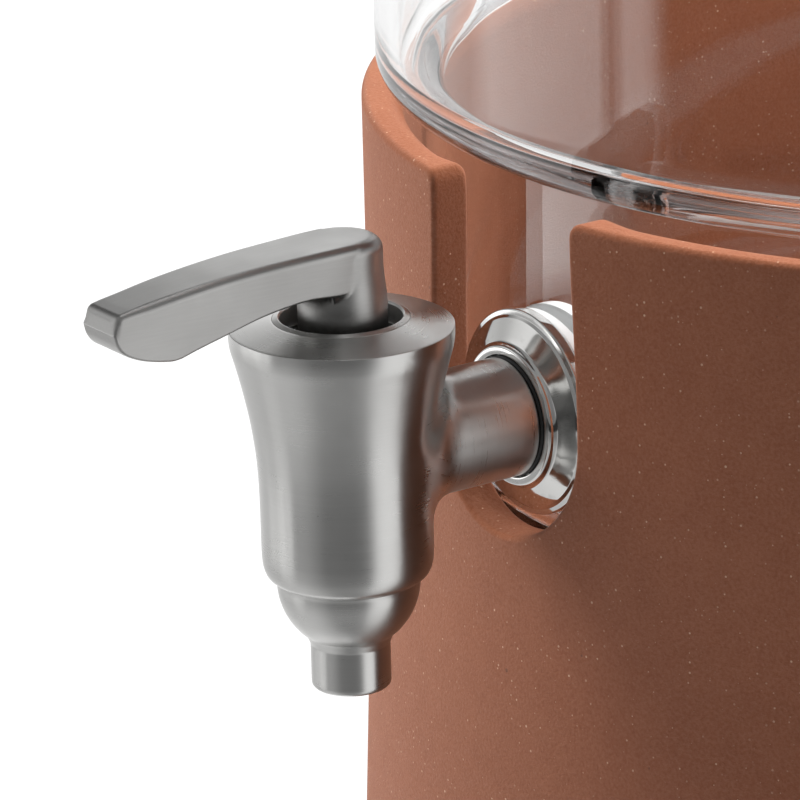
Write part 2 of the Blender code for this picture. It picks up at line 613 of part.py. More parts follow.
def make_spring(tap_axis, material):
    """The closing spring, one wound wire from the stem's stop up to the cartridge."""
    low = SPRING_STOP_TOP + GAP + SPRING_WIRE
    high = CUP_FOOT - GAP - SPRING_WIRE
    count = SPRING_CURLS * POINTS_PER_CURL
    points = []
    for step in range(count + 1):
        turn = math.tau * step / POINTS_PER_CURL
        height = low + (high - low) * step / count
        points.append((SPRING_RADIUS * math.cos(turn), SPRING_RADIUS * math.sin(turn), height))
    curve = bpy.data.curves.new("valve_spring", "CURVE")
    curve.dimensions = "3D"
    curve.bevel_depth = SPRING_WIRE
    curve.bevel_resolution = 1
    curve.use_fill_caps = True
    wire = curve.splines.new("POLY")
    wire.points.add(count)
    for point, place in zip(wire.points, points):
        point.co = (*place, 1)
    curve.materials.append(material)
    spring = bpy.data.objects.new("valve_spring", curve)
    spring.parent = tap_axis
    bpy.context.collection.objects.link(spring)
    reach = range(POINTS_PER_CURL // 2, count + 1)
    apart = min(math.dist(points[i], points[i + k]) for k in reach for i in range(count + 1 - k))
    print("least gap of the spring to itself, in metres:", round(apart - 2 * SPRING_WIRE, 5))


def make_outlet(tap_axis, material, rubber):
    """The round bottom with its spout, screwed into the body, with the valve's seat inside."""
    half = OUTLET_SEAL_WIRE + GAP
    groove = OUTLET_SEAL_MAJOR - half
    seat_bottom = SEAT_TOP - SEAT_LENGTH
    dome_end = -math.degrees(math.acos(NOZZLE_RADIUS / DOME_RADIUS))
    profile = [(CAP_RADIUS, CAP_SHOULDER)]
    profile += arc((0, WELL_FLOOR), DOME_RADIUS, 0, dome_end, 6)
    profile += [(NOZZLE_RADIUS, NOZZLE_EDGE - NOZZLE_END), (NOZZLE_RADIUS - NOZZLE_EDGE, -NOZZLE_END)]
    profile += [(NOZZLE_BORE, -NOZZLE_END), (NOZZLE_BORE, seat_bottom - SEAT_TAPER), (SEAT_HOLE, seat_bottom)]
    profile += [(SEAT_HOLE, SEAT_TOP), (SEAT_HOLE + SEAT_LIP, SEAT_TOP)]
    profile += [(SEAT_HOLE + 2 * SEAT_LIP, WELL_FLOOR), (SPIGOT_BORE, WELL_FLOOR), (SPIGOT_BORE, SPIGOT_TOP)]
    profile += [(SPIGOT_RADIUS, SPIGOT_TOP), (SPIGOT_RADIUS, OUTLET_SEAL_HEIGHT + half)]
    profile += [(groove, OUTLET_SEAL_HEIGHT + half), (groove, OUTLET_SEAL_HEIGHT - half)]
    profile += [(SPIGOT_RADIUS, OUTLET_SEAL_HEIGHT - half), (SPIGOT_RADIUS, CAP_SHOULDER)]
    turned("outlet_cap", profile, TAP_FACETS, tap_axis, material)
    seal_ring("outlet_ring", OUTLET_SEAL_MAJOR, OUTLET_SEAL_WIRE, OUTLET_SEAL_HEIGHT, SMALL_FACETS,
              tap_axis, rubber)


def make_shank(tube_line, material):
    """The hollow threaded tube from the tap's socket through the glass, with its thread as rings."""
    root = SHANK_RADIUS - THREAD_DEPTH
    profile = [(WATERWAY_RADIUS, SHANK_START), (WATERWAY_RADIUS, SHANK_END), (root, SHANK_END)]
    for turn in range(THREAD_TURNS):
        start = SHANK_END + SHANK_CHAMFER + THREAD_PITCH * turn
        profile += [(SHANK_RADIUS, start), (root, start + THREAD_PITCH / 2)]
    profile += [(SHANK_RADIUS, SHANK_END + SHANK_CHAMFER + THREAD_PITCH * THREAD_TURNS)]
    profile += [(SHANK_RADIUS, SHANK_START)]
    turned("threaded_shank", profile, SMALL_FACETS, tube_line, material)


def make_flange(tube_line, material, rubber):
    """The polished cone round the shank, and the black ring between it and the side tube."""
    bore = SHANK_RADIUS + GAP
    recess = SHANK_SEAL_REACH - SHANK_SEAL_WIRE - GAP
    recess_radius = SHANK_SEAL_RADIUS + SHANK_SEAL_WIRE + GAP
    band = FLANGE_BACK + FLANGE_BAND
    profile = [(bore, FLANGE_BACK), (FLANGE_RADIUS - FLANGE_BAND_EDGE, FLANGE_BACK)]
    profile += [(FLANGE_RADIUS, FLANGE_BACK + FLANGE_BAND_EDGE), (FLANGE_RADIUS, band - FLANGE_BAND_EDGE)]
    profile += [(FLANGE_CONE_RADIUS + FLANGE_BAND_EDGE, band), (FLANGE_CONE_RADIUS, band + FLANGE_BAND_EDGE)]
    profile += [(FLANGE_HUB_RADIUS + HUB_ROUND, FLANGE_FRONT - FLANGE_CONE_START)]
    profile += [(FLANGE_HUB_RADIUS, FLANGE_FRONT - HUB_ROUND / 2), (FLANGE_HUB_RADIUS - HUB_ROUND, FLANGE_FRONT)]
    profile += [(recess_radius, FLANGE_FRONT), (recess_radius, recess), (bore, recess)]
    turned("flange", profile, TAP_FACETS, tube_line, material)
    seal_ring("shank_ring", SHANK_SEAL_RADIUS, SHANK_SEAL_WIRE, SHANK_SEAL_REACH, SMALL_FACETS,
              tube_line, rubber)


def make_gaskets(jar_axis, tube_line, silicone):
    """The two white seals on the glass, each with one face round like the jar's wall."""
    bore = SHANK_RADIUS + GAP
    outer = flat_ring("outer_gasket", bore, OUTER_GASKET_RADIUS, LOWER_BORE_RADIUS, FLANGE_BACK - GAP,
                      TAP_FACETS, tube_line, silicone)
    low = TAP_HEIGHT - TAP_DROP
    high = TAP_HEIGHT + TAP_DROP
    wall = flat_solid("outer_wall_cutter", LOWER_RADIUS + GAP, low, high, jar_axis, STAND_FACETS)
    combine(outer, wall, "DIFFERENCE")
    inner = flat_ring("inner_gasket", bore, INNER_GASKET_RADIUS, INNER_GASKET_BACK, LOWER_RADIUS,
                      TAP_FACETS, tube_line, silicone)
    room = flat_solid("inner_wall_cutter", LOWER_BORE_RADIUS - GAP, low, high, jar_axis, STAND_FACETS)
    combine(inner, room, "INTERSECT")


def make_nut(tube_line, material):
    """The washer and the six-sided nut inside the jar."""
    bore = SHANK_RADIUS + GAP
    flat_ring("shank_washer", bore, WASHER_RADIUS, WASHER_BACK, WASHER_BACK + WASHER_THICKNESS,
              SMALL_FACETS, tube_line, material)
    corner = NUT_FLATS / math.sqrt(3)
    outline = arc((0, 0), corner, 0, 360, 6)[:-1]
    bm = bmesh.new()
    low = [bm.verts.new((x, y, NUT_BACK)) for x, y in outline]
    high = [bm.verts.new((x, y, NUT_BACK + NUT_THICKNESS)) for x, y in outline]
    bm.faces.new(low)
    bm.faces.new(high)
    for index in range(len(outline)):
        other = (index + 1) % len(outline)
        bm.faces.new((low[index], low[other], high[other], high[index]))
    nut = make_object("lock_nut", bm, tube_line, material)
    bore_tool = flat_solid("nut_bore", bore, NUT_BACK - OVERRUN, NUT_BACK + NUT_THICKNESS + OVERRUN,
                           tube_line, SMALL_FACETS)
    combine(nut, bore_tool, "DIFFERENCE")


def make_lid(parent, clay, silicone, steel):
    """The loose lid: a clay disc with a collar in the mouth, its seal, and a steel knob on a screw."""
    hole = SCREW_RADIUS + GAP
    sunk = SCREW_HEAD_RADIUS + GAP
    shelf = LID_BASE + SCREW_HEAD_HEIGHT + GAP
    collar = LID_BASE - LID_COLLAR_DEPTH
    inner = LID_COLLAR_RADIUS - LID_COLLAR_WALL
    profile = [(hole, shelf), (sunk, shelf), (sunk, LID_BASE), (inner, LID_BASE), (inner, collar)]
    profile += [(LID_COLLAR_RADIUS, collar), (LID_COLLAR_RADIUS, LID_BASE)]
    profile += [(LID_RADIUS - LID_EDGE / 2, LID_BASE), (LID_RADIUS, LID_BASE + LID_EDGE / 2)]
    profile += arc((LID_RADIUS - LID_EDGE, LID_TOP - LID_EDGE), LID_EDGE, 0, 90, 3)
    profile += [(hole, LID_TOP)]
    turned("lid", profile, STAND_FACETS, parent, clay)
    base = LID_BASE - GAP - LID_SEAL_HEIGHT
    bore = LID_COLLAR_RADIUS + GAP
    skin = bore + LID_SEAL_WALL
    seal = [(bore, base + LID_SEAL_HEIGHT), (bore, base), (skin, base)]
    for fin in range(LID_FIN_COUNT):
        middle = base + LID_SEAL_HEIGHT * (fin + 1) / (LID_FIN_COUNT + 1)
        seal += [(skin, middle - LID_FIN_HALF_HEIGHT), (LID_SEAL_RADIUS, middle), (skin, middle + LID_FIN_HALF_HEIGHT)]
    seal += [(skin, base + LID_SEAL_HEIGHT)]
    turned("lid_seal", seal, STAND_FACETS, parent, silicone)
    foot = LID_TOP + GAP
    bite = foot + SCREW_BITE
    knob = [(0, bite + GAP), (hole, bite + GAP), (hole, foot), (KNOB_NECK_RADIUS, foot)]
    knob += [(KNOB_NECK_RADIUS, foot + KNOB_NECK_HEIGHT)]
    edge = (KNOB_RADIUS - KNOB_EDGE, foot + KNOB_HEIGHT - KNOB_EDGE)
    knob += [(KNOB_RADIUS, edge[1] - KNOB_EDGE)]
    knob += arc(edge, KNOB_EDGE, 0, 90, 3)
    knob += [(0, foot + KNOB_HEIGHT)]
    turned("lid_knob", knob, 32, parent, steel)
    head = shelf - GAP
    recess = SCREW_HEAD_HEIGHT * SCREW_RECESS_SHARE
    drive = SCREW_RADIUS * SCREW_RECESS_SHARE
    screw = [(0, head - SCREW_HEAD_HEIGHT + recess), (drive, head - SCREW_HEAD_HEIGHT + recess)]
    screw += [(drive, head - SCREW_HEAD_HEIGHT), (SCREW_HEAD_RADIUS, head - SCREW_HEAD_HEIGHT)]
    screw += [(SCREW_HEAD_RADIUS, head), (SCREW_RADIUS, head), (SCREW_RADIUS, bite), (0, bite)]
    turned("knob_screw", screw, 16, parent, steel)


def main():
    """Build every piece in its place."""
    clear_scene()
    clay = make_material("terracotta", (0.42, 0.17, 0.10), 0.9)
    glass = make_material("clear_glass", (0.85, 0.9, 0.9), 0.05)
    brushed = make_material("brushed_steel", (0.55, 0.54, 0.52), 0.35, 1.0)
    polished = make_material("polished_steel", (0.75, 0.75, 0.74), 0.08, 1.0)
    plain = make_material("inner_steel", (0.6, 0.6, 0.6), 0.3, 1.0)
    rubber = make_material("black_rubber", (0.02, 0.02, 0.02), 0.6)
    silicone = make_material("white_silicone", (0.8, 0.8, 0.78), 0.5)
    jar_axis = make_empty("jar_axis", None, (0, AXIS_Y, 0))
    tap_axis = make_empty("tap_axis", jar_axis, (0, -TAP_REACH, TAP_HEIGHT))
    tube_line = make_empty("tube_line", jar_axis, (0, 0, TAP_HEIGHT), (math.radians(90), 0, 0))
    make_stand(jar_axis, clay)
    make_rest_ring(jar_axis, silicone)
    drill_jar(make_jar(jar_axis, glass), tube_line)
    make_tap_body(tap_axis, brushed)
    make_collar(tap_axis, brushed)
    make_cartridge(tap_axis, plain, rubber)
    make_lever(tap_axis, brushed)
    make_lever_pin(tap_axis, plain)
    make_stem(tap_axis, plain)
    make_plug(tap_axis, silicone)
    make_spring(tap_axis, plain)
    make_outlet(tap_axis, brushed, rubber)
    make_shank(tube_line, plain)
    make_flange(tube_line, polished, rubber)
    make_gaskets(jar_axis, tube_line, silicone)
    make_nut(tube_line, plain)
    make_lid(jar_axis, clay, silicone, brushed)


main()
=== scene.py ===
"""Looks of the glass jar in its slotted clay stand, with the steel lever tap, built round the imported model.

Shapes are written in millimetres and scaled once, when a grid of points becomes a mesh. Heights are above
the ground, except on the tap, where they count from the middle of its side tube. A reach is a distance in
front of the jar's axis.
"""

import math

import bmesh
import bpy
import numpy as np
from mathutils import Matrix


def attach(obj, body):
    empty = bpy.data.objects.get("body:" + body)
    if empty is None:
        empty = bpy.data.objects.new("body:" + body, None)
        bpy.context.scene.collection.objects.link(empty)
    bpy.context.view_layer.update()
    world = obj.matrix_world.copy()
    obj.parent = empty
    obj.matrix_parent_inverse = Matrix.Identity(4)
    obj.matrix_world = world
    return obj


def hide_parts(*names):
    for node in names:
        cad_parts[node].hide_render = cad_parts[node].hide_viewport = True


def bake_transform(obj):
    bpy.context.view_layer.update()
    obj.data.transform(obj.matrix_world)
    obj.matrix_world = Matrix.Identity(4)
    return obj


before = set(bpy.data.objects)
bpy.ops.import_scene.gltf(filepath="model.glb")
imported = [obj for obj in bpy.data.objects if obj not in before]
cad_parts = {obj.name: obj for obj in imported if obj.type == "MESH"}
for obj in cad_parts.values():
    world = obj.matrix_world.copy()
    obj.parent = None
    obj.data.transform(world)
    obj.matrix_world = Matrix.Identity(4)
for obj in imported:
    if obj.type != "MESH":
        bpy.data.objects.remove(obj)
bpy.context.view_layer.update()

MM = 0.001
AXIS_Y = 32.8          # the jar's axis
TAP_Y = -111.1         # the tap's own axis
TAP_Z = 168.1          # the side tube's middle
TAP_REACH = AXIS_Y - TAP_Y

# Clay stand
STAND_TOP = 203.9
STAND_R = 115.7
STAND_WALL = 6.8
STAND_FLOOR = 136.5
FLOOR_THICKNESS = 10.0
SKIRT_WALL = 8.0
WAIST = 135.0          # the height from which the wall leans out to its foot
FOOT_R = 121.4
SLOT_HALF = 18.9
SLOT_TOP_HALF = 17.9
SLOT_CORNER = 2.3
SLOT_EDGE = 1.0
RIM_EDGE = 1.2
RIM_INNER_EDGE = 4.0
FAN_ANGLE = 0.44       # the angle, each way from the front, that the slot's columns spread over below it
OUTER_BASE = 139.0     # the heights from which the columns lean to their points of the edge
INNER_BASE = 143.0

# Glass jar
JAR_BASE = 138.6
JAR_TOP = 355.0
JAR_R = 113.3
JAR_LOWER_R = 106.0
JAR_SHOULDER = 206.0
JAR_FLOOR = 6.0
PUNT = 3.0
GLASS = 4.0

# Shank, through the jar's wall
SHANK_R = 8.0
SHANK_BORE = 5.0
SHANK_HOLE = 8.6
RING_BORE = 8.3
GASKET_GAP = 0.3

# Lid
LID_BASE = 355.3
LID_TOP = 365.3
LID_LIP = 10.0
LID_LIP_R = 105.0


# ---- shapes
def arc(centre, radius, start, end, steps):
    """Points on a circle round centre, from start to end degrees, counted from +X toward +Z."""
    turn = np.radians(np.linspace(start, end, steps + 1))
    return np.stack([centre[0] + radius * np.cos(turn), centre[1] + radius * np.sin(turn)], 1)


def rounded(corners, steps=6):
    """An outline of (across, up, radius) corners. Each corner becomes an arc that touches both its sides:
    its centre is on the bisector, at radius / sin(half the corner's angle), and the arc is swept evenly."""
    table = np.array(corners, float)
    point, radius = table[:, :2], table[:, 2:].copy()
    radius[0] = radius[-1] = 0
    back = np.roll(point, 1, 0) - point
    ahead = np.roll(point, -1, 0) - point
    back[0], ahead[-1] = -ahead[0], -back[-1]
    back /= np.linalg.norm(back, axis=1, keepdims=True)
    ahead /= np.linalg.norm(ahead, axis=1, keepdims=True)
    half = np.arccos(np.clip((back * ahead).sum(1, keepdims=True), -1, 1)) / 2
    half = np.clip(half, 0.01, math.pi / 2 - 1e-5)
    middle = back + ahead
    middle /= np.maximum(np.linalg.norm(middle, axis=1, keepdims=True), 1e-9)
    centre = point + middle * radius / np.sin(half)
    first = point + back * radius / np.tan(half) - centre
    last = point + ahead * radius / np.tan(half) - centre
    swing = math.pi - 2 * half
    share = np.linspace(0, 1, steps + 1)[None, :]
    from_first = (np.sin((1 - share) * swing) / np.sin(swing))[:, :, None]
    from_last = (np.sin(share * swing) / np.sin(swing))[:, :, None]
    swept = centre[:, None] + from_first * first[:, None] + from_last * last[:, None]
    swept = swept.reshape(-1, 2)
    return swept[np.r_[True, np.linalg.norm(np.diff(swept, axis=0), axis=1) > 1e-6]]


def filled(outline, step):
    """The same outline with more points, at most a step apart, and every old point kept."""
    outline = np.asarray(outline, float)
    along = np.r_[0, np.cumsum(np.linalg.norm(np.diff(outline, axis=0), axis=1))]
    places = np.unique(np.round(np.r_[along, np.arange(0, along[-1], step)], 5))
    return np.stack([np.interp(places, along, outline[:, 0]), np.interp(places, along, outline[:, 1])], 1)


def smooth(table, count):
    """A smooth curve through the rows of a table, by the Catmull-Rom formula, count points in all."""
    table = np.asarray(table, float)
    place = np.linspace(0, len(table) - 1, count)
    index = np.minimum(place.astype(int), len(table) - 2)
    u = (place - index)[:, None]
    before, here, there, after = (table[np.clip(index + k, 0, len(table) - 1)] for k in (-1, 0, 1, 2))
    return 0.5 * (2 * here + (there - before) * u + (2 * before - 5 * here + 4 * there - after) * u ** 2
                  + (3 * here - before - 3 * there + after) * u ** 3)


def circle(steps):
    """Even turns round a whole circle, the last one left out."""
    return np.linspace(0, 2 * math.pi, steps, endpoint=False)


def upright(outline, turn, axis_y=AXIS_Y):
    """A (radius, height) outline turned about an upright axis: x = r sin t, y = axis - r cos t."""
    r, z = outline[:, :1], outline[:, 1:]
    return np.stack([r * np.sin(turn), axis_y - r * np.cos(turn), z + 0 * turn], -1)


def lying(r, reach, turn):
    """Rings about the line through the side tube's middle: x = r cos t, y = axis - reach, z = r sin t."""
    return np.stack(np.broadcast_arrays(r * np.cos(turn), AXIS_Y - reach, TAP_Z + r * np.sin(turn)), -1)


def grid_faces(rows, columns, round_rows, round_columns, start):
    """Corner numbers of the quads between the neighbours of a grid, which may close on itself."""
    number = start + np.arange(rows * columns).reshape(rows, columns)
    if round_rows:
        number = np.vstack([number, number[:1]])
    if round_columns:
        number = np.hstack([number, number[:, :1]])
    return np.stack([number[:-1, :-1], number[:-1, 1:], number[1:, 1:], number[1:, :-1]], -1).reshape(-1, 4)


def shell(name, grids, sharp=38):
    """One closed mesh object from grids of points in millimetres, each with whether its rows and its columns
    close. Points that meet are welded, so poles and the seams between grids close, and faces turn outwards."""
    points, faces, start = [], [], 0
    for grid, round_rows, round_columns in grids:
        rows, columns = grid.shape[:2]
        faces.append(grid_faces(rows, columns, round_rows, round_columns, start))
        points.append(grid.reshape(-1, 3))
        start += rows * columns
    mesh = bpy.data.meshes.new(name)
    mesh.from_pydata((np.concatenate(points) * MM).tolist(), [], np.concatenate(faces).tolist())
    bm = bmesh.new()
    bm.from_mesh(mesh)
    bmesh.ops.remove_doubles(bm, verts=bm.verts, dist=2e-6)
    bmesh.ops.recalc_face_normals(bm, faces=bm.faces)
    if bm.calc_volume(signed=True) < 0:
        bmesh.ops.reverse_faces(bm, faces=bm.faces)
    bm.to_mesh(mesh)
    bm.free()
    mesh.shade_smooth()
    mesh.set_sharp_from_angle(angle=math.radians(sharp))
    item = bpy.data.objects.new(name, mesh)
    bpy.context.collection.objects.link(item)
    return item


def plain_item(name, make, **settings):
    """An object from one of bmesh's own plain shapes."""
    bm = bmesh.new()
    make(bm, **settings)
    mesh = bpy.data.meshes.new(name)
    bm.to_mesh(mesh)
    bm.free()
    item = bpy.data.objects.new(name, mesh)
    bpy.context.collection.objects.link(item)
    return item


def carve(item, *tools, operation="DIFFERENCE"):
    """Cut tools out of an item, exactly, and keep the result as its mesh."""
    for tool in tools:
        cut = item.modifiers.new("cut", "BOOLEAN")
        cut.operation = operation
        cut.object = tool
    done = bpy.data.meshes.new_from_object(item.evaluated_get(bpy.context.evaluated_depsgraph_get()))
    old = item.data
    item.modifiers.clear()
    item.data = done
    done.name = item.name
    bpy.data.meshes.remove(old)
    for tool in tools:
        bpy.data.objects.remove(tool)
    item.data.set_sharp_from_angle(angle=math.radians(38))


def place(item, node, body, slot, material):
    """Stand for a CAD node: ride on its body and wear the material. The slot is not used."""
    item.data.materials.clear()
    item.data.materials.append(material)
    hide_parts(node)
    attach(item, body)


# ---- materials
class Recipe:
    """One material's nodes, joined as they are written."""

    def __init__(self, name, **values):
        self.material = bpy.data.materials.new(name)
        self.material.use_nodes = True
        self.tree = self.material.node_tree
        self.shader = self.tree.nodes["Principled BSDF"]
        self.output = self.tree.nodes["Material Output"]
        self.skin(values)
        self.place = self.add("TexCoord").outputs["Object"]

    def set(self, node, values):
        for key, value in values.items():
            socket = node.inputs[key]
            if isinstance(value, bpy.types.NodeSocket):
                self.tree.links.new(value, socket)
            else:
                socket.default_value = (*value, 1) if socket.type == "RGBA" and len(value) == 3 else value

    def skin(self, values):
        self.set(self.shader, values)

    def add(self, kind, values=None, **settings):
        node = self.tree.nodes.new("ShaderNode" + kind)
        for key, value in settings.items():
            setattr(node, key, value)
        self.set(node, values or {})
        return node

    def math(self, operation, first, second=0.0, third=0.0):
        return self.add("Math", {0: first, 1: second, 2: third}, operation=operation).outputs[0]

    def vector(self, operation, first, second=(0, 0, 0)):
        node = self.add("VectorMath", {0: first, 1: second}, operation=operation)
        return node.outputs[1 if operation in ("LENGTH", "DOT_PRODUCT") else 0]

    def noise(self, scale, detail=3.0, roughness=0.5, where=None):
        node = self.add("TexNoise", {"Vector": where or self.place, "Scale": scale, "Detail": detail,
                                     "Roughness": roughness})
        return node.outputs[0]

    def cells(self, scale):
        """The distance to each cell's point, and the cell's own three random numbers."""
        node = self.add("TexVoronoi", {"Vector": self.place, "Scale": scale})
        return node.outputs["Distance"], self.add("SeparateColor", {0: node.outputs["Color"]}).outputs

    def span(self, value, low, high, to_low=0.0, to_high=1.0, shape="LINEAR"):
        node = self.add("MapRange", {"Value": value, "From Min": low, "From Max": high, "To Min": to_low,
                                     "To Max": to_high}, interpolation_type=shape)
        return node.outputs[0]

    def mix(self, factor, first, second, blend="MIX"):
        node = self.add("Mix", {0: factor, 6: first, 7: second}, data_type="RGBA", blend_type=blend)
        return node.outputs[2]

    def either(self, factor, first, second):
        return self.add("MixShader", {0: factor, 1: first.outputs[0], 2: second.outputs[0]})

    def show(self, node):
        self.set(self.output, {"Surface": node.outputs[0]})

    def bump(self, height, distance, strength=1.0):
        node = self.add("Bump", {"Height": height, "Distance": distance, "Strength": strength})
        self.skin({"Normal": node.outputs[0]})


def clay_material():
    """Unglazed clay: slow colour drift, a sandy grain, pale specks of sand and a few dark pits."""
    recipe = Recipe("terracotta_sandy", Roughness=0.8)
    recipe.skin({"Sheen Weight": 0.14, "Sheen Roughness": 0.45, "Sheen Tint": (1, 0.93, 0.86)})
    drift = recipe.span(recipe.noise(14, 2), 0.35, 0.65)
    colour = recipe.mix(drift, (0.368, 0.123, 0.058), (0.403, 0.143, 0.07))
    mottle = recipe.span(recipe.noise(170, 3), 0.3, 0.7)
    colour = recipe.mix(recipe.math("MULTIPLY", mottle, 0.5), colour, (0.335, 0.105, 0.047))
    grain = recipe.noise(1900, 4, 0.65)
    colour = recipe.mix(recipe.span(grain, 0.4, 0.68, 0.0, 0.4), colour, (0.52, 0.235, 0.15))
    colour = recipe.mix(recipe.span(grain, 0.42, 0.28, 0.0, 0.35), colour, (0.25, 0.085, 0.045))
    away, pick = recipe.cells(820.0)
    speck = recipe.math("LESS_THAN", away, recipe.span(pick[0], 0.2, 1.0, 0.02, 0.17))
    speck = recipe.math("MULTIPLY", speck, recipe.span(pick[1], 0.0, 1.0, 0.2, 0.95))
    colour = recipe.mix(speck, colour, (0.80, 0.56, 0.40))
    away, pick = recipe.cells(260.0)
    pit = recipe.math("LESS_THAN", away, recipe.span(pick[2], 0.7, 1.0, 0.0, 0.09))
    colour = recipe.mix(recipe.math("MULTIPLY", pit, 0.6), colour, (0.16, 0.07, 0.045))
    recipe.skin({"Base Color": colour})
    height = recipe.math("MULTIPLY_ADD", speck, 0.5, grain)
    height = recipe.math("MULTIPLY_ADD", pit, -1.2, height)
    recipe.bump(height, 0.00026, 0.6)
    return recipe.material


def brushed_material(name, axis_y, tube=False):
    """Steel turned and brushed round an upright axis: fine rings of noise in the distance from the axis and
    the height, streaked for a few centimetres round it. Its gloss is long up the sides, across the rings, and
    along the side tube, which stands outside the body's own outline."""
    colour, roughness = (0.60, 0.597, 0.585), 0.3
    recipe = Recipe(name, Metallic=1.0)
    recipe.skin({"Anisotropic": 0.75})
    local = recipe.vector("SUBTRACT", recipe.place, (0, axis_y * MM, TAP_Z * MM))
    out = recipe.vector("LENGTH", recipe.vector("MULTIPLY", local, (1, 1, 0)))
    parts = recipe.add("SeparateXYZ", {0: local})
    ring = recipe.math("MULTIPLY", recipe.math("ADD", out, parts.outputs[2]), 3600.0)
    along = (0, 0, 1)
    lines = recipe.add("CombineXYZ", {0: recipe.math("MULTIPLY", parts.outputs[0], 45.0),
                                      1: recipe.math("MULTIPLY", parts.outputs[1], 45.0), 2: ring})
    brush = recipe.noise(1.0, 3, 0.6, lines.outputs[0])
    if tube:
        flare = recipe.span(parts.outputs[2], 0.004, 0.022, 0.0145, 0.0179)
        beyond = recipe.span(recipe.math("SUBTRACT", out, flare), 0.0, 0.0028)
        along = recipe.mix(beyond, (0, 0, 1), (0, 1, 0))
        round_tube = recipe.noise(1.0, 3, 0.6, recipe.vector("MULTIPLY", local, (45, 3600, 45)))
        both = recipe.add("Mix", {0: beyond, 2: brush, 3: round_tube})
        brush = both.outputs[0]
    blotch = recipe.noise(150, 3, 0.55)
    rough = recipe.math("ADD", recipe.span(brush, 0.25, 0.75, roughness - 0.03, roughness + 0.03),
                        recipe.span(blotch, 0.3, 0.7, -0.025, 0.03))
    tone = recipe.mix(recipe.span(brush, 0.3, 0.7), tuple(0.965 * c for c in colour), colour)
    away, pick = recipe.cells(240.0)
    fleck = recipe.math("LESS_THAN", away, recipe.span(pick[0], 0.88, 1.0, 0.0, 0.045))
    tone = recipe.mix(recipe.math("MULTIPLY", fleck, 0.5), tone, (0.16, 0.15, 0.14))
    recipe.skin({"Base Color": tone, "Roughness": rough, "Tangent": along})
    recipe.bump(recipe.math("MULTIPLY_ADD", blotch, 2.0, brush), 0.00002, 0.12)
    return recipe.material


def lever_material():
    """Cast steel of the lever, brushed along its length by noise that is stretched forward."""
    recipe = Recipe("brushed_lever", Metallic=1.0)
    recipe.skin({"Anisotropic": 0.45})
    lines = recipe.vector("MULTIPLY", recipe.place, (2600, 110, 2600))
    brush = recipe.noise(1.0, 3, 0.6, lines)
    blotch = recipe.noise(130, 3, 0.5)
    rough = recipe.math("ADD", recipe.span(brush, 0.25, 0.75, 0.33, 0.38),
                        recipe.span(blotch, 0.3, 0.7, -0.03, 0.03))
    tone = recipe.mix(recipe.span(brush, 0.3, 0.7), (0.425, 0.421, 0.413), (0.46, 0.457, 0.448))
    recipe.skin({"Base Color": tone, "Roughness": rough,
                               "Tangent": recipe.vector("ADD", (0, 1, 0))})
    recipe.bump(recipe.math("MULTIPLY_ADD", blotch, 1.5, brush), 0.00003, 0.12)
    return recipe.material


def polished_material():
    """Polished steel with faint wipe marks in its gloss."""
    recipe = Recipe("polished_steel", Metallic=1.0)
    smear = recipe.noise(120, 4, 0.6)
    rough = recipe.span(smear, 0.35, 0.75, 0.045, 0.13)
    tone = recipe.mix(recipe.span(recipe.noise(420, 3), 0.55, 0.75), (0.74, 0.735, 0.72), (0.62, 0.615, 0.6))
    recipe.skin({"Base Color": tone, "Roughness": rough})
    recipe.bump(smear, 0.00005, 0.25)
    return recipe.material


def inner_steel_material():
    """Plain turned steel of the parts inside."""
    recipe = Recipe("turned_steel", Metallic=1.0)
    brush = recipe.noise(1.0, 2, 0.5, recipe.vector("MULTIPLY", recipe.place, (300, 2500, 2500)))
    recipe.skin({"Base Color": recipe.mix(brush, (0.52, 0.52, 0.51), (0.63, 0.63, 0.62)),
                               "Roughness": recipe.span(brush, 0.3, 0.7, 0.22, 0.34)})
    recipe.bump(brush, 0.00004, 0.4)
    return recipe.material


def soft_material(name, dark, light, roughness):
    """Moulded rubber or silicone: a matt skin with faint mottling."""
    recipe = Recipe(name)
    mottle = recipe.noise(240, 3)
    recipe.skin({"Base Color": recipe.mix(mottle, dark, light),
                               "Roughness": recipe.span(mottle, 0.3, 0.7, roughness - 0.06, roughness + 0.06)})
    recipe.bump(recipe.noise(1100, 2), 0.00005, 0.3)
    return recipe.material


def glass_material():
    """Clear blown glass with the slow waves of its making. Lamps shine through it."""
    recipe = Recipe("clear_glass", Roughness=0.0)
    recipe.skin({"Base Color": (0.985, 0.99, 0.988), "IOR": 1.46, "Transmission Weight": 1.0})
    waves = recipe.noise(1.0, 1.5, 0.4, recipe.vector("MULTIPLY", recipe.place, (28, 28, 9)))
    recipe.bump(waves, 0.0012, 0.18)
    clear = recipe.add("BsdfTransparent", {"Color": (0.985, 0.988, 0.986)})
    recipe.show(recipe.either(recipe.add("LightPath").outputs["Is Shadow Ray"], recipe.shader, clear))
    return recipe.material


CLAY = clay_material()
TAP_STEEL = brushed_material("brushed_tap", TAP_Y, tube=True)
KNOB_STEEL = brushed_material("brushed_knob", AXIS_Y)
LEVER_STEEL = lever_material()
POLISHED = polished_material()
INNER_STEEL = inner_steel_material()
RUBBER = soft_material("black_rubber", (0.012, 0.012, 0.012), (0.02, 0.02, 0.02), 0.5)
SILICONE = soft_material("white_silicone", (0.74, 0.75, 0.76), (0.80, 0.81, 0.81), 0.42)
CLEAR_GLASS = glass_material()


# ---- clay stand
def ease(value, low, high):
    """0 below low, 1 above high, and the smooth step 3t^2 - 2t^3 between."""
    t = np.clip((value - low) / (high - low), 0, 1)
    return t * t * (3 - 2 * t)


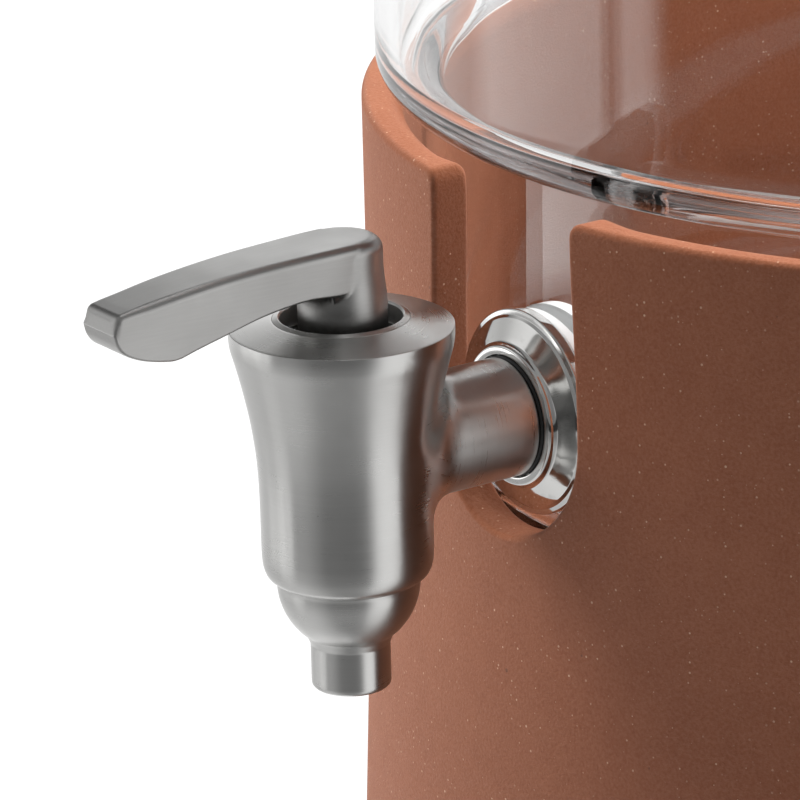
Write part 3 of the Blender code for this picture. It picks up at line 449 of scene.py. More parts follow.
def slot_path():
    """The stand's edge, seen on its unrolled wall, from the slot's lowest point up its right side and along
    the rim to the back: places along the wall, heights, and the direction into the clay."""
    low = np.radians(np.linspace(-90, 0, 34))
    rise = np.linspace(TAP_Z, STAND_TOP - SLOT_CORNER, 30)[1:]
    bend = np.radians(np.linspace(180, 90, 11))[1:]
    near = np.linspace(SLOT_TOP_HALF + SLOT_CORNER, 48, 26)[1:]
    far = np.linspace(48, math.pi * STAND_R, 132)[1:]
    rim = np.r_[near, far]
    narrow = SLOT_HALF + (SLOT_TOP_HALF - SLOT_HALF) * ease(rise, TAP_Z + 4, STAND_TOP - SLOT_CORNER)
    across = np.r_[SLOT_HALF * np.cos(low), narrow,
                   SLOT_TOP_HALF + SLOT_CORNER + SLOT_CORNER * np.cos(bend), rim]
    up = np.r_[TAP_Z + SLOT_HALF * np.sin(low), rise,
               STAND_TOP - SLOT_CORNER + SLOT_CORNER * np.sin(bend), STAND_TOP + 0 * rim]
    into_x = np.r_[np.cos(low), 1 + 0 * rise, -np.cos(bend), 0 * rim]
    into_z = np.r_[np.sin(low), 0 * rise, -np.sin(bend), -1 + 0 * rim]
    slot_count = len(low) + len(rise) + len(bend)
    return across, up, into_x, into_z, slot_count


def make_stand():
    """One grid whose columns follow the stand's edge: the rim, and the slot's two sides and round foot. From
    under the floor the rows go down the skirt, round the foot and up the outer wall. There each column runs
    straight, on the unrolled wall, to its own point of the edge, over the round edge, and down the inside."""
    across, up, into_x, into_z, slot_count = slot_path()
    along = np.r_[0, np.cumsum(np.hypot(np.diff(across), np.diff(up)))]
    slot_length = along[slot_count - 1]
    angle = across / STAND_R
    corner_angle = angle[slot_count - 1]
    base = np.where(along <= slot_length, FAN_ANGLE * along / slot_length,
                    FAN_ANGLE + (angle - corner_angle) * (math.pi - FAN_ANGLE) / (math.pi - corner_angle))
    edge = SLOT_EDGE + (RIM_EDGE - SLOT_EDGE) * ease(along, slot_length - 6, slot_length + 4)
    inner_edge = SLOT_EDGE + (RIM_INNER_EDGE - SLOT_EDGE) * ease(along, slot_length - 7, slot_length + 9)
    square = 1 - ease(along, slot_length, slot_length + 14)
    # The left side mirrors the right one, without its first column and its last.
    left = slice(-2, 0, -1)
    across, into_x, base = (np.r_[part, -part[left]] for part in (across, into_x, base))
    up, into_z, edge, inner_edge, square = (np.r_[part, part[left]]
                                            for part in (up, into_z, edge, inner_edge, square))

    def on_wall(lateral, height, depth):
        """Points at a depth under the outer face, for places on the unrolled wall. Beside the slot, x stays
        as it is on the outer face, and round the rim the angle does."""
        turn = lateral / STAND_R
        r = STAND_R - depth
        straight = np.arcsin(np.clip(STAND_R * np.sin(turn) / r, -1, 1))
        turn = np.where(square > 0, turn + square * (straight - turn), turn)
        return np.stack([r * np.sin(turn), AXIS_Y - r * np.cos(turn), height + 0 * turn], -1)

    under = STAND_FLOOR - FLOOR_THICKNESS
    lean = (FOOT_R - STAND_R) / WAIST
    skirt_top = STAND_R - SKIRT_WALL + lean * (WAIST - under)
    outside = rounded([(0, under, 0), (skirt_top, under, 6), (FOOT_R - SKIRT_WALL, 0, 1.6), (FOOT_R, 0, 2.2),
                       (STAND_R, WAIST, 130), (STAND_R, OUTER_BASE, 0)], 8)
    rows = [upright(filled(outside, 4), base)]
    start_lateral = base * STAND_R
    share = 1 - (1 - np.linspace(0, 1, 30)[1:]) ** 1.5
    for part in share:
        lateral = start_lateral + part * (across + edge * into_x - start_lateral)
        height = OUTER_BASE + part * (up + edge * into_z - OUTER_BASE)
        rows.append(on_wall(lateral, height, 0 * up)[None])
    quarter = np.radians(np.linspace(0, 90, 8))
    band = [(edge * (1 - math.sin(t)), edge * (1 - math.cos(t))) for t in quarter[1:]]
    band += [(0 * edge, edge + (STAND_WALL - edge - inner_edge) * t) for t in (0.25, 0.5, 0.75)]
    band += [(inner_edge * (1 - math.cos(t)), STAND_WALL - inner_edge * (1 - math.sin(t))) for t in quarter]
    for inward, depth in band:
        rows.append(on_wall(across + inward * into_x, up + inward * into_z, depth)[None])
    for part in share[::-1]:
        lateral = start_lateral + part * (across + inner_edge * into_x - start_lateral)
        height = INNER_BASE + part * (up + inner_edge * into_z - INNER_BASE)
        rows.append(on_wall(lateral, height, STAND_WALL + 0 * up)[None])
    inner = STAND_R - STAND_WALL
    inside = rounded([(inner, INNER_BASE, 0), (inner, STAND_FLOOR, 4), (0, STAND_FLOOR, 0)], 8)
    rows.append(upright(filled(inside, 4), base))
    return shell("terracotta_stand_fine", [(np.concatenate(rows), False, True)], 60)


place(make_stand(), "terracotta_stand", "stand", "terracotta", CLAY)


# ---- glass jar
def lying_drill(name, outline):
    """A rod of (radius, reach) corners about the side tube's line, to cut with."""
    rows = np.array(outline, float)
    return shell(name, [(lying(rows[:, :1], rows[:, 1:], circle(64)), False, True)])


def make_jar():
    """The jar, turned from its outline: narrow in the stand, a round shoulder over its rim, a wide wall and a
    round lip, with a raised middle under its floor. The shank's hole is cut through its front."""
    bottom, floor, ledge = JAR_BASE, JAR_BASE + JAR_FLOOR, JAR_SHOULDER + GLASS
    inner, wide = JAR_LOWER_R - GLASS, JAR_R - GLASS
    outline = rounded([
        (0, bottom + PUNT, 0), (60, bottom + PUNT, 3), (64, bottom, 1.5), (JAR_LOWER_R, bottom, 10),
        (JAR_LOWER_R, JAR_SHOULDER, 1.1), (JAR_R, JAR_SHOULDER, 5.0), (JAR_R, JAR_TOP, 1.97),
        (wide, JAR_TOP, 1.97), (wide, ledge, 3.4), (inner, ledge, 3.4), (inner, floor, 8), (64, floor, 4),
        (60, floor + PUNT, 4), (0, floor + PUNT, 0)], 14)
    jar = shell("glass_jar_fine", [(upright(filled(outline, 3), circle(320)), False, True)])
    near, far = JAR_LOWER_R - 12, JAR_LOWER_R + 6
    carve(jar, lying_drill("drill", [(0, near), (SHANK_HOLE, near), (SHANK_HOLE, far), (0, far)]))
    return jar


place(make_jar(), "glass_jar", "jar", "glass", CLEAR_GLASS)


def turned_piece(node, body, slot, material, corners, axis_y=AXIS_Y, steps=192, step=2.0, lift=0.0, arcs=6):
    """A piece turned about an upright axis from its rounded outline, closed on itself if it is a ring."""
    closed = corners[0][0] > 0
    if closed:
        half = [(corners[-1][k] + corners[0][k]) / 2 for k in (0, 1)]
        corners = [(*half, 0), *corners, (*half, 0)]
    outline = filled(rounded(corners, arcs), step)
    if closed:
        outline = outline[:-1]
    outline = outline + (0, lift)
    item = shell(node + "_fine", [(upright(outline, circle(steps), axis_y), closed, True)])
    place(item, node, body, slot, material)


def lying_ring(node, corners, steps=160, step=1.0, arcs=6):
    """A ring turned about the side tube's line from its rounded (radius, reach, round) outline."""
    half = [(corners[-1][k] + corners[0][k]) / 2 for k in (0, 1)]
    outline = filled(rounded([(*half, 0), *corners, (*half, 0)], arcs), step)[:-1]
    return shell(node + "_fine", [(lying(outline[:, :1], outline[:, 1:], circle(steps)), True, True)])


turned_piece("jar_rest_ring", "stand", "silicone", SILICONE,
             [(70, 136.8, 0.4), (92, 136.8, 0.4), (92, 138.3, 0.6), (70, 138.3, 0.6)])

# ---- tap body
BODY_CURVE = smooth([(11.55, -19.36), (11.9, -19.1), (12.4, -18.7), (12.8, -18.1), (13.14, -16.9),
                     (13.28, -15.1), (13.3, -12.8), (13.3, -10.2), (13.32, -7.0), (13.4, -3.5), (13.6, 0),
                     (13.95, 3.2), (14.4, 6.3), (15.04, 9.6), (15.78, 12.9), (16.6, 16.1), (17.12, 18.0),
                     (17.3, 19.4), (17.33, 20.2), (17.33, 21.0)], 500)
TUBE_R = 9.45
TUBE_END = 30.1
SOCKET_DEPTH = 11.8
BLEND = 4.4            # how far from each other the tube and the body start to join
DOME_R = 11.1
DOME_Z = -20.0
NOZZLE_R = 6.2
NOZZLE_BORE = 4.9
NOZZLE_END = -37.4


def body_radius(z):
    """The body's radius at a height above the side tube's middle."""
    return np.interp(z, BODY_CURVE[:, 1], BODY_CURVE[:, 0])


def round_max(a, b, radius):
    """The larger of two distances, with the edge between their surfaces rounded to a radius."""
    return (np.minimum(np.maximum(a + radius, b + radius), 0)
            + np.hypot(np.maximum(a + radius, 0), np.maximum(b + radius, 0)) - radius)


def soft_min(a, b, width):
    """The smaller of two distances, less a quarter of width times the square of how near they are to each
    other, which fills the crease between their surfaces."""
    near = np.maximum(width - np.abs(a - b), 0) / width
    return np.minimum(a, b) - near ** 2 * width / 4


def settle(points, distance, rounds=6, step=0.02):
    """Move points onto the surface where a distance is zero, by Newton steps along its slope."""
    shape = points.shape
    points = points.reshape(-1, 3).copy()
    offsets = np.eye(3) * step
    for _ in range(rounds):
        slope = np.stack([distance(points + side) - distance(points - side) for side in offsets], -1)
        slope /= 2 * step
        points -= slope * (distance(points) / np.maximum((slope ** 2).sum(-1), 0.25))[:, None]
    return points.reshape(shape)


def body_distance(points):
    """Distance to the tap's outside, in its own place: the turned body and the side tube, softly joined."""
    x, back, z = points.T
    slope = (body_radius(z + 0.05) - body_radius(z - 0.05)) / 0.1
    body = (np.hypot(x, back) - body_radius(z)) / np.sqrt(1 + slope ** 2)
    tube = np.maximum(np.hypot(x, z) - TUBE_R, 3 - back)
    return soft_min(body, tube, BLEND)


def make_tap_body():
    """The tap's body. Its front is a plain grid of turn and height. Its back is a grid in rings round the side
    tube, from the edge of the back half in to the tube, then out along the tube to its end. Both meet a turned
    grid that goes over the rim, down the bore and under the foot. The join is settled onto the two softly
    joined distances."""
    half, tall = 96, 84
    low, high = -14.6, 20.3
    turns = np.linspace(-math.pi / 2, math.pi / 2, half + 1)
    heights = np.linspace(low, high, tall + 1)

    def on_body(turn, z):
        r = body_radius(z)
        return np.stack([r * np.sin(turn), r * np.cos(turn), z], -1)

    front = on_body(*np.broadcast_arrays(turns[None] + math.pi, heights[:, None]))
    side_turn = np.r_[turns[:-1], np.full(tall, turns[-1]), turns[:0:-1], np.full(tall, turns[0])]
    side_z = np.r_[np.full(half, low), heights[:-1], np.full(half, high), heights[:0:-1]]
    spoke = np.arctan2(side_z, 15 * side_turn)
    foot_r = TUBE_R + 3.2
    foot_z = foot_r * np.sin(spoke)
    foot_turn = np.arcsin(np.clip(foot_r * np.cos(spoke) / body_radius(foot_z), -1, 1))
    share = np.linspace(0, 1, 22)[:, None] ** 0.8
    back = on_body(side_turn + share * (foot_turn - side_turn), side_z + share * (foot_z - side_z))
    tube_x, tube_z = TUBE_R * np.cos(spoke), TUBE_R * np.sin(spoke)
    root = np.sqrt(body_radius(tube_z) ** 2 - tube_x ** 2) + 3.4
    ring = np.stack([tube_x, root, tube_z], -1)
    join = back[-1] + np.linspace(0, 1, 18)[1:, None, None] * (ring - back[-1])
    run = root + np.linspace(0, 1, 22)[1:, None] * (TUBE_END - 0.5 - root)
    tube = np.stack(np.broadcast_arrays(tube_x, run, tube_z), -1)
    rings = np.concatenate([back[1:], join, tube[:-1]])
    rings = np.concatenate([back[:1], settle(rings, body_distance), tube[-1:]])
    edge = rounded([(TUBE_R, TUBE_END - 0.5, 0), (TUBE_R, TUBE_END, 0.45), (0, TUBE_END, 0)], 6)
    edge = filled(edge, 1.5)[1:]
    cap = np.stack([edge[:, :1] * np.cos(spoke), edge[:, 1:] + 0 * spoke, edge[:, :1] * np.sin(spoke)], -1)
    rings = np.concatenate([rings, cap])
    around = np.r_[turns[:-1], turns[:-1] + math.pi]
    upper = np.concatenate([
        BODY_CURVE[BODY_CURVE[:, 1] > high][::8],
        rounded([(17.33, 20.9, 0), (17.33, 21.06, 0.14), (10.6, 22.36, 0.04), (10.6, 6, 0.2), (9.2, 6, 0.2),
                 (9.2, -13.4, 0.2), (10.8, -13.4, 0.2), (10.8, -19.36, 0.1), (11.55, -19.36, 0)], 5)])
    foot = BODY_CURVE[BODY_CURVE[:, 1] < low][::4]
    loop = np.concatenate([[(body_radius(high), high)], filled(upper, 1.2), filled(foot, 0.4),
                           [(body_radius(low), low)]])
    r, z = loop[:, :1], loop[:, 1:]
    ends = np.stack([r * np.sin(around), r * np.cos(around), z + 0 * around], -1)
    grids = [(front, False, False), (rings, False, True), (ends, False, True)]
    centre = (0, TAP_Y, TAP_Z)
    body = shell("tap_body_fine", [(grid + centre, *closed) for grid, *closed in grids])
    end = TAP_REACH - TUBE_END
    socket, past = end + SOCKET_DEPTH, end - 2
    carve(body, lying_drill("way", [(0, TAP_REACH), (SHANK_BORE, TAP_REACH), (SHANK_BORE, socket),
                                    (RING_BORE, socket), (RING_BORE, past), (0, past)]))
    return body


place(make_tap_body(), "tap_body", "jar", "brushed_steel", TAP_STEEL)

ON_TAP = {"axis_y": TAP_Y, "lift": TAP_Z}
turned_piece("lever_collar", "jar", "brushed_steel", TAP_STEEL,
             [(9.42, 19.22, 0.2), (10.55, 19.22, 0.2), (10.55, 22.37, 0.03), (9.72, 22.74, 0.12),
              (9.42, 22.45, 0.15)], step=0.5, **ON_TAP)


def make_outlet_cap():
    """The round bottom with its spout: a ball's lower side down to the nozzle, with the valve's seat inside."""
    dome_end = -math.degrees(math.acos(NOZZLE_R / DOME_R))
    dome = [(r, z, 0) for r, z in arc((0, DOME_Z), DOME_R, 0, dome_end + 4, 30)]
    corners = [(7.6, -13.7, 0.2), (7.6, -20.3, 0.3), (5.4, -20.3, 0.3), (4.7, -18.1, 0.2), (4, -18.1, 0.2),
               (4, -22.6, 0.3), (NOZZLE_BORE, -24.6, 0.5), (NOZZLE_BORE, NOZZLE_END, 0.35),
               (NOZZLE_R, NOZZLE_END, 0.9), (NOZZLE_R, -30.2, 0.9), *dome[::-1],
               (11.2, -19.4, 0.1), (10.5, -19.4, 0.1), (10.5, -17.55, 0.1), (8.8, -17.55, 0.1),
               (8.8, -15.55, 0.1), (10.5, -15.55, 0.1), (10.5, -13.7, 0.2)]
    turned_piece("outlet_cap", "jar", "brushed_steel", TAP_STEEL, corners, step=0.6, **ON_TAP)


make_outlet_cap()

# ---- lever
LEVER_LENGTH, LEVER_TOP, LEVER_DEEP, LEVER_WIDE = 43.1, 35.2, 11.5, 6.2
# Each row: the top edge's reach and drop, the low edge's reach and drop, and half the width, as shares
LEVER_SHARES = np.array([
    (0.984, 0.293, 1.0, 0.53, 0.73), (0.972, 0.283, 0.988, 0.69, 0.735), (0.951, 0.268, 0.956, 0.83, 0.745),
    (0.893, 0.232, 0.889, 0.948, 0.77), (0.812, 0.186, 0.803, 1.022, 0.805),
    (0.742, 0.150, 0.747, 1.03, 0.832), (0.661, 0.114, 0.673, 0.955, 0.852),
    (0.548, 0.072, 0.548, 0.838, 0.872), (0.422, 0.040, 0.422, 0.715, 0.91),
    (0.325, 0.024, 0.302, 0.643, 0.935), (0.209, 0.012, 0.209, 0.617, 0.965),
    (0.093, 0.003, 0.104, 0.64, 1.0), (0.02, 0, 0.02, 0.64, 1.0)])
LEVER_ROWS = smooth(LEVER_SHARES, 145) * (LEVER_LENGTH, LEVER_DEEP, LEVER_LENGTH, LEVER_DEEP, LEVER_WIDE)
LEVER_UPPER = LEVER_ROWS[:, :2] * (1, -1) + (0, LEVER_TOP)
LEVER_LOWER = LEVER_ROWS[:, 2:4] * (1, -1) + (0, LEVER_TOP)
BAR = slice(0, 121)    # the rows of the bar, up to the leg
BAR_POWER = 0.22       # how square the bar's section is: 0 is a box, 1 an oval
LEG_FOOT = 12.5
PIN_HEIGHT = 16.5
FORK_TOP = 20.47


def outline_distance(points, outline):
    """Signed distance from points to a closed outline: the nearest of its sides, less than 0 inside, by the
    count of sides that a line to the right crosses."""
    start, end = outline, np.roll(outline, -1, 0)
    side = end - start
    offset = points[:, None] - start
    share = np.clip((offset * side).sum(-1) / (side ** 2).sum(-1), 0, 1)
    near = np.linalg.norm(offset - share[..., None] * side, axis=-1).min(1)
    rises = (start[:, 1] > points[:, 1:]) != (end[:, 1] > points[:, 1:])
    rise = np.where(side[:, 1] == 0, 1, side[:, 1])
    crossing = start[:, 0] + (points[:, 1:] - start[:, 1]) * side[:, 0] / rise
    inside = (rises & (points[:, :1] < crossing)).sum(1) % 2
    return np.where(inside == 1, -near, near)


TIP_ROUND = rounded([(*LEVER_LOWER[0], 0), (*LEVER_UPPER[0], 1.5), (*LEVER_UPPER[30], 0)], 10)
LEVER_OUTLINE = np.concatenate([TIP_ROUND[1:], LEVER_UPPER[32:-1:2], [(-0.3, LEVER_TOP), (-0.3, 27.9)],
                                LEVER_LOWER[-2::-2]])


def lever_distance(points):
    """Distance to the lever: a bar of its side outline and its width, and the round leg, with a soft arch where
    the bar's under side meets the leg's front."""
    x, ahead, z = points.T
    reach = LEVER_ROWS[::-1, 0]
    top = np.interp(ahead, LEVER_UPPER[::-1, 0], LEVER_UPPER[::-1, 1])
    low = np.interp(ahead, LEVER_LOWER[::-1, 0], LEVER_LOWER[::-1, 1])
    width = np.interp(ahead, reach, LEVER_ROWS[::-1, 4])
    edge = 0.5 + (0.9 - 0.4 * ease(ahead, 36, 42)) * ease(z, (top + low) / 2 - 1, (top + low) / 2 + 0.6)
    bar = round_max(np.abs(x) - width, outline_distance(points[:, 1:], LEVER_OUTLINE), edge)
    leg_r = 6.9 - 0.5 * ease(z, 24.5, 31)
    side = np.hypot(x, ahead + 0.3) - leg_r
    leg = round_max(round_max(side, z - top, 2.1), LEG_FOOT - z, 0.4)
    arch = ease(-z, -low - 1.5, -low + 0.5) * ease(ahead, 1.5, 4) * ease(-np.abs(x), -6, -3.5)
    return soft_min(bar, leg, 0.02 + 3.4 * arch)


def make_lever():
    """The lever, swept from its tip to its foot. Each row is a ring between a point on the upper side and one
    on the lower side, a squarish oval that grows round toward the leg, and all are then settled onto the
    lever's distance. The fork and the pins' holes, inside the body, are cut."""
    upper_leg = filled(np.concatenate([LEVER_UPPER[BAR][-1:], [(0, LEVER_TOP)],
                                       arc((-4.6, LEVER_TOP - 2.1), 2.1, 90, 180, 8),
                                       [(-7.2, 26.5), (-7.2, 13.2)]]), 0.5)
    lower_leg = filled(np.array([LEVER_LOWER[BAR][-1], (7.3, 27.3), (6.7, 25.5), (6.6, 22), (6.6, 13.2)]), 0.25)
    pick = np.linspace(0, 1, 73)[1:]
    take_upper = upper_leg[np.round(pick * (len(upper_leg) - 1)).astype(int)]
    take_lower = lower_leg[np.round(pick ** 1.1 * (len(lower_leg) - 1)).astype(int)]
    upper = np.concatenate([LEVER_UPPER[BAR], take_upper])
    lower = np.concatenate([LEVER_LOWER[BAR], take_lower])
    width = np.concatenate([LEVER_ROWS[BAR, 4], 5.9 + 1.0 * ease(pick, 0, 0.4)])
    leg_power = BAR_POWER + (1 - BAR_POWER) * ease(pick, 0, 0.55)
    power = np.r_[np.full(len(LEVER_ROWS[BAR]), BAR_POWER), leg_power][:, None]
    around = circle(112) + 0.01
    cosine, sine = np.cos(around), np.sin(around)
    x = width[:, None] * np.sign(cosine) * np.abs(cosine) ** power
    v = 0.5 + 0.5 * np.sign(sine) * np.abs(sine) ** power
    flat = lower[:, None] + v[..., None] * (upper - lower)[:, None]
    rings = np.concatenate([x[..., None], flat], -1)
    shrink = np.linspace(1, 0, 9)[1:, None, None]
    tip = rings[0].mean(0) + (rings[0] - rings[0].mean(0)) * shrink[::-1]
    middle = rings[-1].mean(0)
    foot = middle * (1, 1, 0) + (0, 0, LEG_FOOT) + (rings[-1] - middle) * (1, 1, 0) * shrink
    rings = np.concatenate([tip, rings, foot])
    rings = settle(rings, lever_distance, 7)
    rings[0], rings[-1] = rings[0].mean(0), rings[-1].mean(0)
    world = np.stack([rings[..., 0], TAP_Y - rings[..., 1], TAP_Z + rings[..., 2]], -1)
    lever = shell("lever_fine", [(world, False, True)], 50)
    low = LEG_FOOT - 4
    box = Matrix.Translation((0, TAP_Y * MM, (TAP_Z + (FORK_TOP + low) / 2) * MM)) @ Matrix.Diagonal(
        (2.35 * MM, 9 * MM, (FORK_TOP - low) / 2 * MM, 1))
    fork = plain_item("fork", bmesh.ops.create_cube, size=2, matrix=box)
    carve(lever, fork, cross_pin("pin_hole", 1.55, 12, TAP_Y - 4), cross_pin("link_hole", 1.3, 12, TAP_Y))
    return lever


def cross_pin(name, radius, half_length, y):
    """A rod across the tap, turned about a line along X at the lever pin's height."""
    turn = circle(32)
    rows = np.array([(-half_length, 0), (-half_length, radius), (half_length, radius), (half_length, 0)])
    x, r = rows[:, :1], rows[:, 1:]
    grid = np.stack([x + 0 * turn, y + r * np.cos(turn), TAP_Z + PIN_HEIGHT + r * np.sin(turn)], -1)
    return shell(name, [(grid, False, True)])


place(make_lever(), "lever", "lever", "brushed_steel", LEVER_STEEL)

# ---- flange, seals and shank
FLANGE = [(RING_BORE, 108.2, 0.2), (16.5, 108.2, 0.5), (16.5, 110.2, 0.35), (15.55, 110.35, 0.2),
          (15.1, 110.75, 0.3), (11.5, 112.45, 1.0), (11.2, 113.5, 0.55), (9.75, 113.5, 0.2),
          (9.75, 112.0, 0.1), (RING_BORE, 112.0, 0.2)]
place(lying_ring("flange", FLANGE), "flange", "jar", "polished_steel", POLISHED)
SHANK_RING = [(r, reach, 0) for r, reach in arc((9.1, 113.2), 0.55, 0, 340, 17)]
place(lying_ring("shank_ring", SHANK_RING, arcs=1), "shank_ring", "jar", "rubber", RUBBER)


def fitted_gasket(node, wall, inside, corners):
    """A ring round the shank with one face bent to the jar's wall: it is cut by the wall's own cylinder."""
    ring = lying_ring(node, corners)
    low, high = TAP_Z - 30, TAP_Z + 30
    outline = np.array([(0, low), (wall, low), (wall, high), (0, high)], float)
    tool = shell("wall", [(upright(outline, circle(720)), False, True)])
    carve(ring, tool, operation="INTERSECT" if inside else "DIFFERENCE")
    place(ring, node, "jar", "silicone", SILICONE)


fitted_gasket("outer_gasket", JAR_LOWER_R + GASKET_GAP, False,
              [(RING_BORE, 103, 0), (15.8, 103, 0), (15.8, 107.9, 0.3), (RING_BORE, 107.9, 0.2)])
fitted_gasket("inner_gasket", JAR_LOWER_R - GLASS - GASKET_GAP, True,
              [(RING_BORE, 99.2, 0.2), (16, 99.2, 0.5), (16, 104, 0), (RING_BORE, 104, 0)])
WASHER = [(RING_BORE, 97.7, 0.1), (14, 97.7, 0.2), (14, 98.9, 0.2), (RING_BORE, 98.9, 0.1)]
place(lying_ring("shank_washer", WASHER), "shank_washer", "jar", "inner_steel", INNER_STEEL)


def make_shank():
    """The threaded tube: its radius follows a wave of the reach less the turn, so the thread winds."""
    reach = np.linspace(86.8, 97.4, 150)
    turn = circle(96)
    phase = reach[:, None] / 2 - turn / (2 * math.pi)
    ridge = 1 - np.abs(2 * (phase % 1) - 1)
    fade = ease(reach, 86.8, 88.2)[:, None]
    thread = SHANK_R - 0.6 * (1 - fade * np.clip(ridge * 1.3 - 0.15, 0, 1))
    before = np.array([(SHANK_BORE, 125.9), (SHANK_BORE, 86.0), (6.9, 86.0)])
    after = np.array([(7.6, 97.6), (SHANK_R, 98.0), (SHANK_R, 125.7), (7.8, 125.9)])
    rows = [lying(before[:, :1], before[:, 1:], turn), lying(thread, reach[:, None], turn),
            lying(after[:, :1], after[:, 1:], turn)]
    item = shell("threaded_shank_fine", [(np.concatenate(rows), True, True)])
    place(item, "threaded_shank", "jar", "inner_steel", INNER_STEEL)


def make_nut():
    """The six-sided nut: a prism whose corners are chamfered by a turned double cone, with a plain bore."""
    side = circle(192)
    flat = 12 / np.cos((side + math.pi / 6) % (math.pi / 3) - math.pi / 6)
    rows = filled([(RING_BORE, 91.4), (11.2, 91.4), (12.2, 91.5), (14.6, 92.6), (14.6, 94.4), (14.6, 96.2),
                   (12.2, 97.3), (11.2, 97.4), (RING_BORE, 97.4)], 0.4)
    radius, reach = np.minimum(rows[:, :1], flat), rows[:, 1:]
    grid = lying(radius, reach, side)
    place(shell("lock_nut_fine", [(grid, True, True)], 30), "lock_nut", "jar", "inner_steel", INNER_STEEL)


make_shank()
make_nut()

# ---- lid
turned_piece("lid", "lid", "terracotta", CLAY,
             [(2.3, LID_BASE + 2.5, 0.2), (4.3, LID_BASE + 2.5, 0.2), (4.3, LID_BASE, 0.4), (97, LID_BASE, 2),
              (97, LID_BASE - LID_LIP, 1.5), (LID_LIP_R, LID_BASE - LID_LIP, 1.5), (LID_LIP_R, LID_BASE, 0.3),
              (STAND_R, LID_BASE, 1.7), (STAND_R, LID_TOP, 3.4), (2.3, LID_TOP, 0.3)], steps=320, step=3)
turned_piece("lid_seal", "lid", "silicone", SILICONE,
             [(105.3, 355.0, 0.2), (105.3, 347.0, 0.3), (106.6, 347.0, 0.3), (106.6, 349.9, 0.3),
              (109.0, 351.0, 0.3), (106.6, 352.1, 0.3), (106.6, 355.0, 0.3)], steps=320, step=1)
turned_piece("lid_knob", "lid", "brushed_steel", KNOB_STEEL,
             [(0, 374.9, 0), (2.3, 374.9, 0.1), (2.3, 365.6, 0.2), (8, 365.6, 0.4), (8, 374.8, 3.0),
              (13.99, 380.6, 2.2), (13.99, 387.6, 3.4), (0, 387.6, 0)], step=0.8, arcs=10)
turned_piece("knob_screw", "lid", "inner_steel", INNER_STEEL,
             [(0, 356.4, 0), (1, 356.4, 0.1), (1, 355.3, 0.1), (4, 355.3, 0.5), (4, 357.5, 0.2),
              (2, 357.5, 0.1), (2, 374.6, 0.3), (0, 374.6, 0)], steps=96, step=0.8)


# ---- spring
SPRING_R, SPRING_WIRE, SPRING_CURLS = 3.6, 0.45, 7
SPRING_LOW, SPRING_HIGH = 157.71, 173.62


def make_spring():
    """The closing spring: its wire's middle goes seven times round the stem at an even climb, and the wire's
    round section stands across its run."""
    turn = np.linspace(0, 2 * math.pi * SPRING_CURLS, 28 * SPRING_CURLS + 1)
    out = np.stack([np.cos(turn), np.sin(turn), 0 * turn], 1)
    climb = (SPRING_HIGH - SPRING_LOW) / turn[-1]
    middle = SPRING_R * out + np.stack([0 * turn, TAP_Y + 0 * turn, SPRING_LOW + climb * turn], 1)
    run = np.stack([-SPRING_R * np.sin(turn), SPRING_R * np.cos(turn), climb + 0 * turn], 1)
    across = np.cross(run / np.hypot(SPRING_R, climb), out)
    section = circle(12)[None, :, None]
    wire = middle[:, None] + SPRING_WIRE * (np.cos(section) * out[:, None] + np.sin(section) * across[:, None])
    first, last = (np.repeat(middle[at, None, None], 12, 1) for at in (0, -1))
    return shell("valve_spring_fine", [(np.concatenate([first, wire, last]), False, True)])


# The spring's foot goes up with the stem and its head stays with the tap, so it shortens; here it is built
# once, at its rest length.
spring = make_spring()
spring.data.materials.append(INNER_STEEL)
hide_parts("valve_spring")
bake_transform(spring)

# ---- parts kept from the model
KEPT = {"valve_cartridge": INNER_STEEL, "cartridge_ring": RUBBER, "stem_ring": RUBBER, "lever_pin": INNER_STEEL,
        "outlet_ring": RUBBER, "link_pin": INNER_STEEL, "valve_stem": INNER_STEEL, "seat_plug": SILICONE}
for node, material in KEPT.items():
    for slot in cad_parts[node].material_slots:
        slot.material = material


# ---- studio
def mirrored(recipe):
    """1 for light that comes to the eye by way of a reflection, also one inside glass, and 0 for the rest."""
    return recipe.math("MINIMUM", recipe.add("LightPath").outputs["Glossy Depth"], 1.0)


def make_floor():
    """A wide pale floor that stays white to the eye and keeps the object's shadow."""
    floor = plain_item("studio_floor", bmesh.ops.create_grid, x_segments=8, y_segments=8, size=6)
    floor.location = (0, 0, -0.0002)
    floor.visible_glossy = False
    recipe = Recipe("pale_floor", Roughness=0.9)
    recipe.skin({"Base Color": (0.8, 0.8, 0.8)})
    path = recipe.add("LightPath").outputs
    seen = recipe.math("MAXIMUM", path["Is Camera Ray"], path["Is Transmission Ray"])
    glow = recipe.add("Emission", {"Strength": 1.12})
    both = recipe.either(recipe.math("MULTIPLY", seen, 0.84), recipe.shader, glow)
    recipe.show(recipe.either(mirrored(recipe), both, recipe.add("BsdfTransparent")))
    floor.data.materials.append(recipe.material)


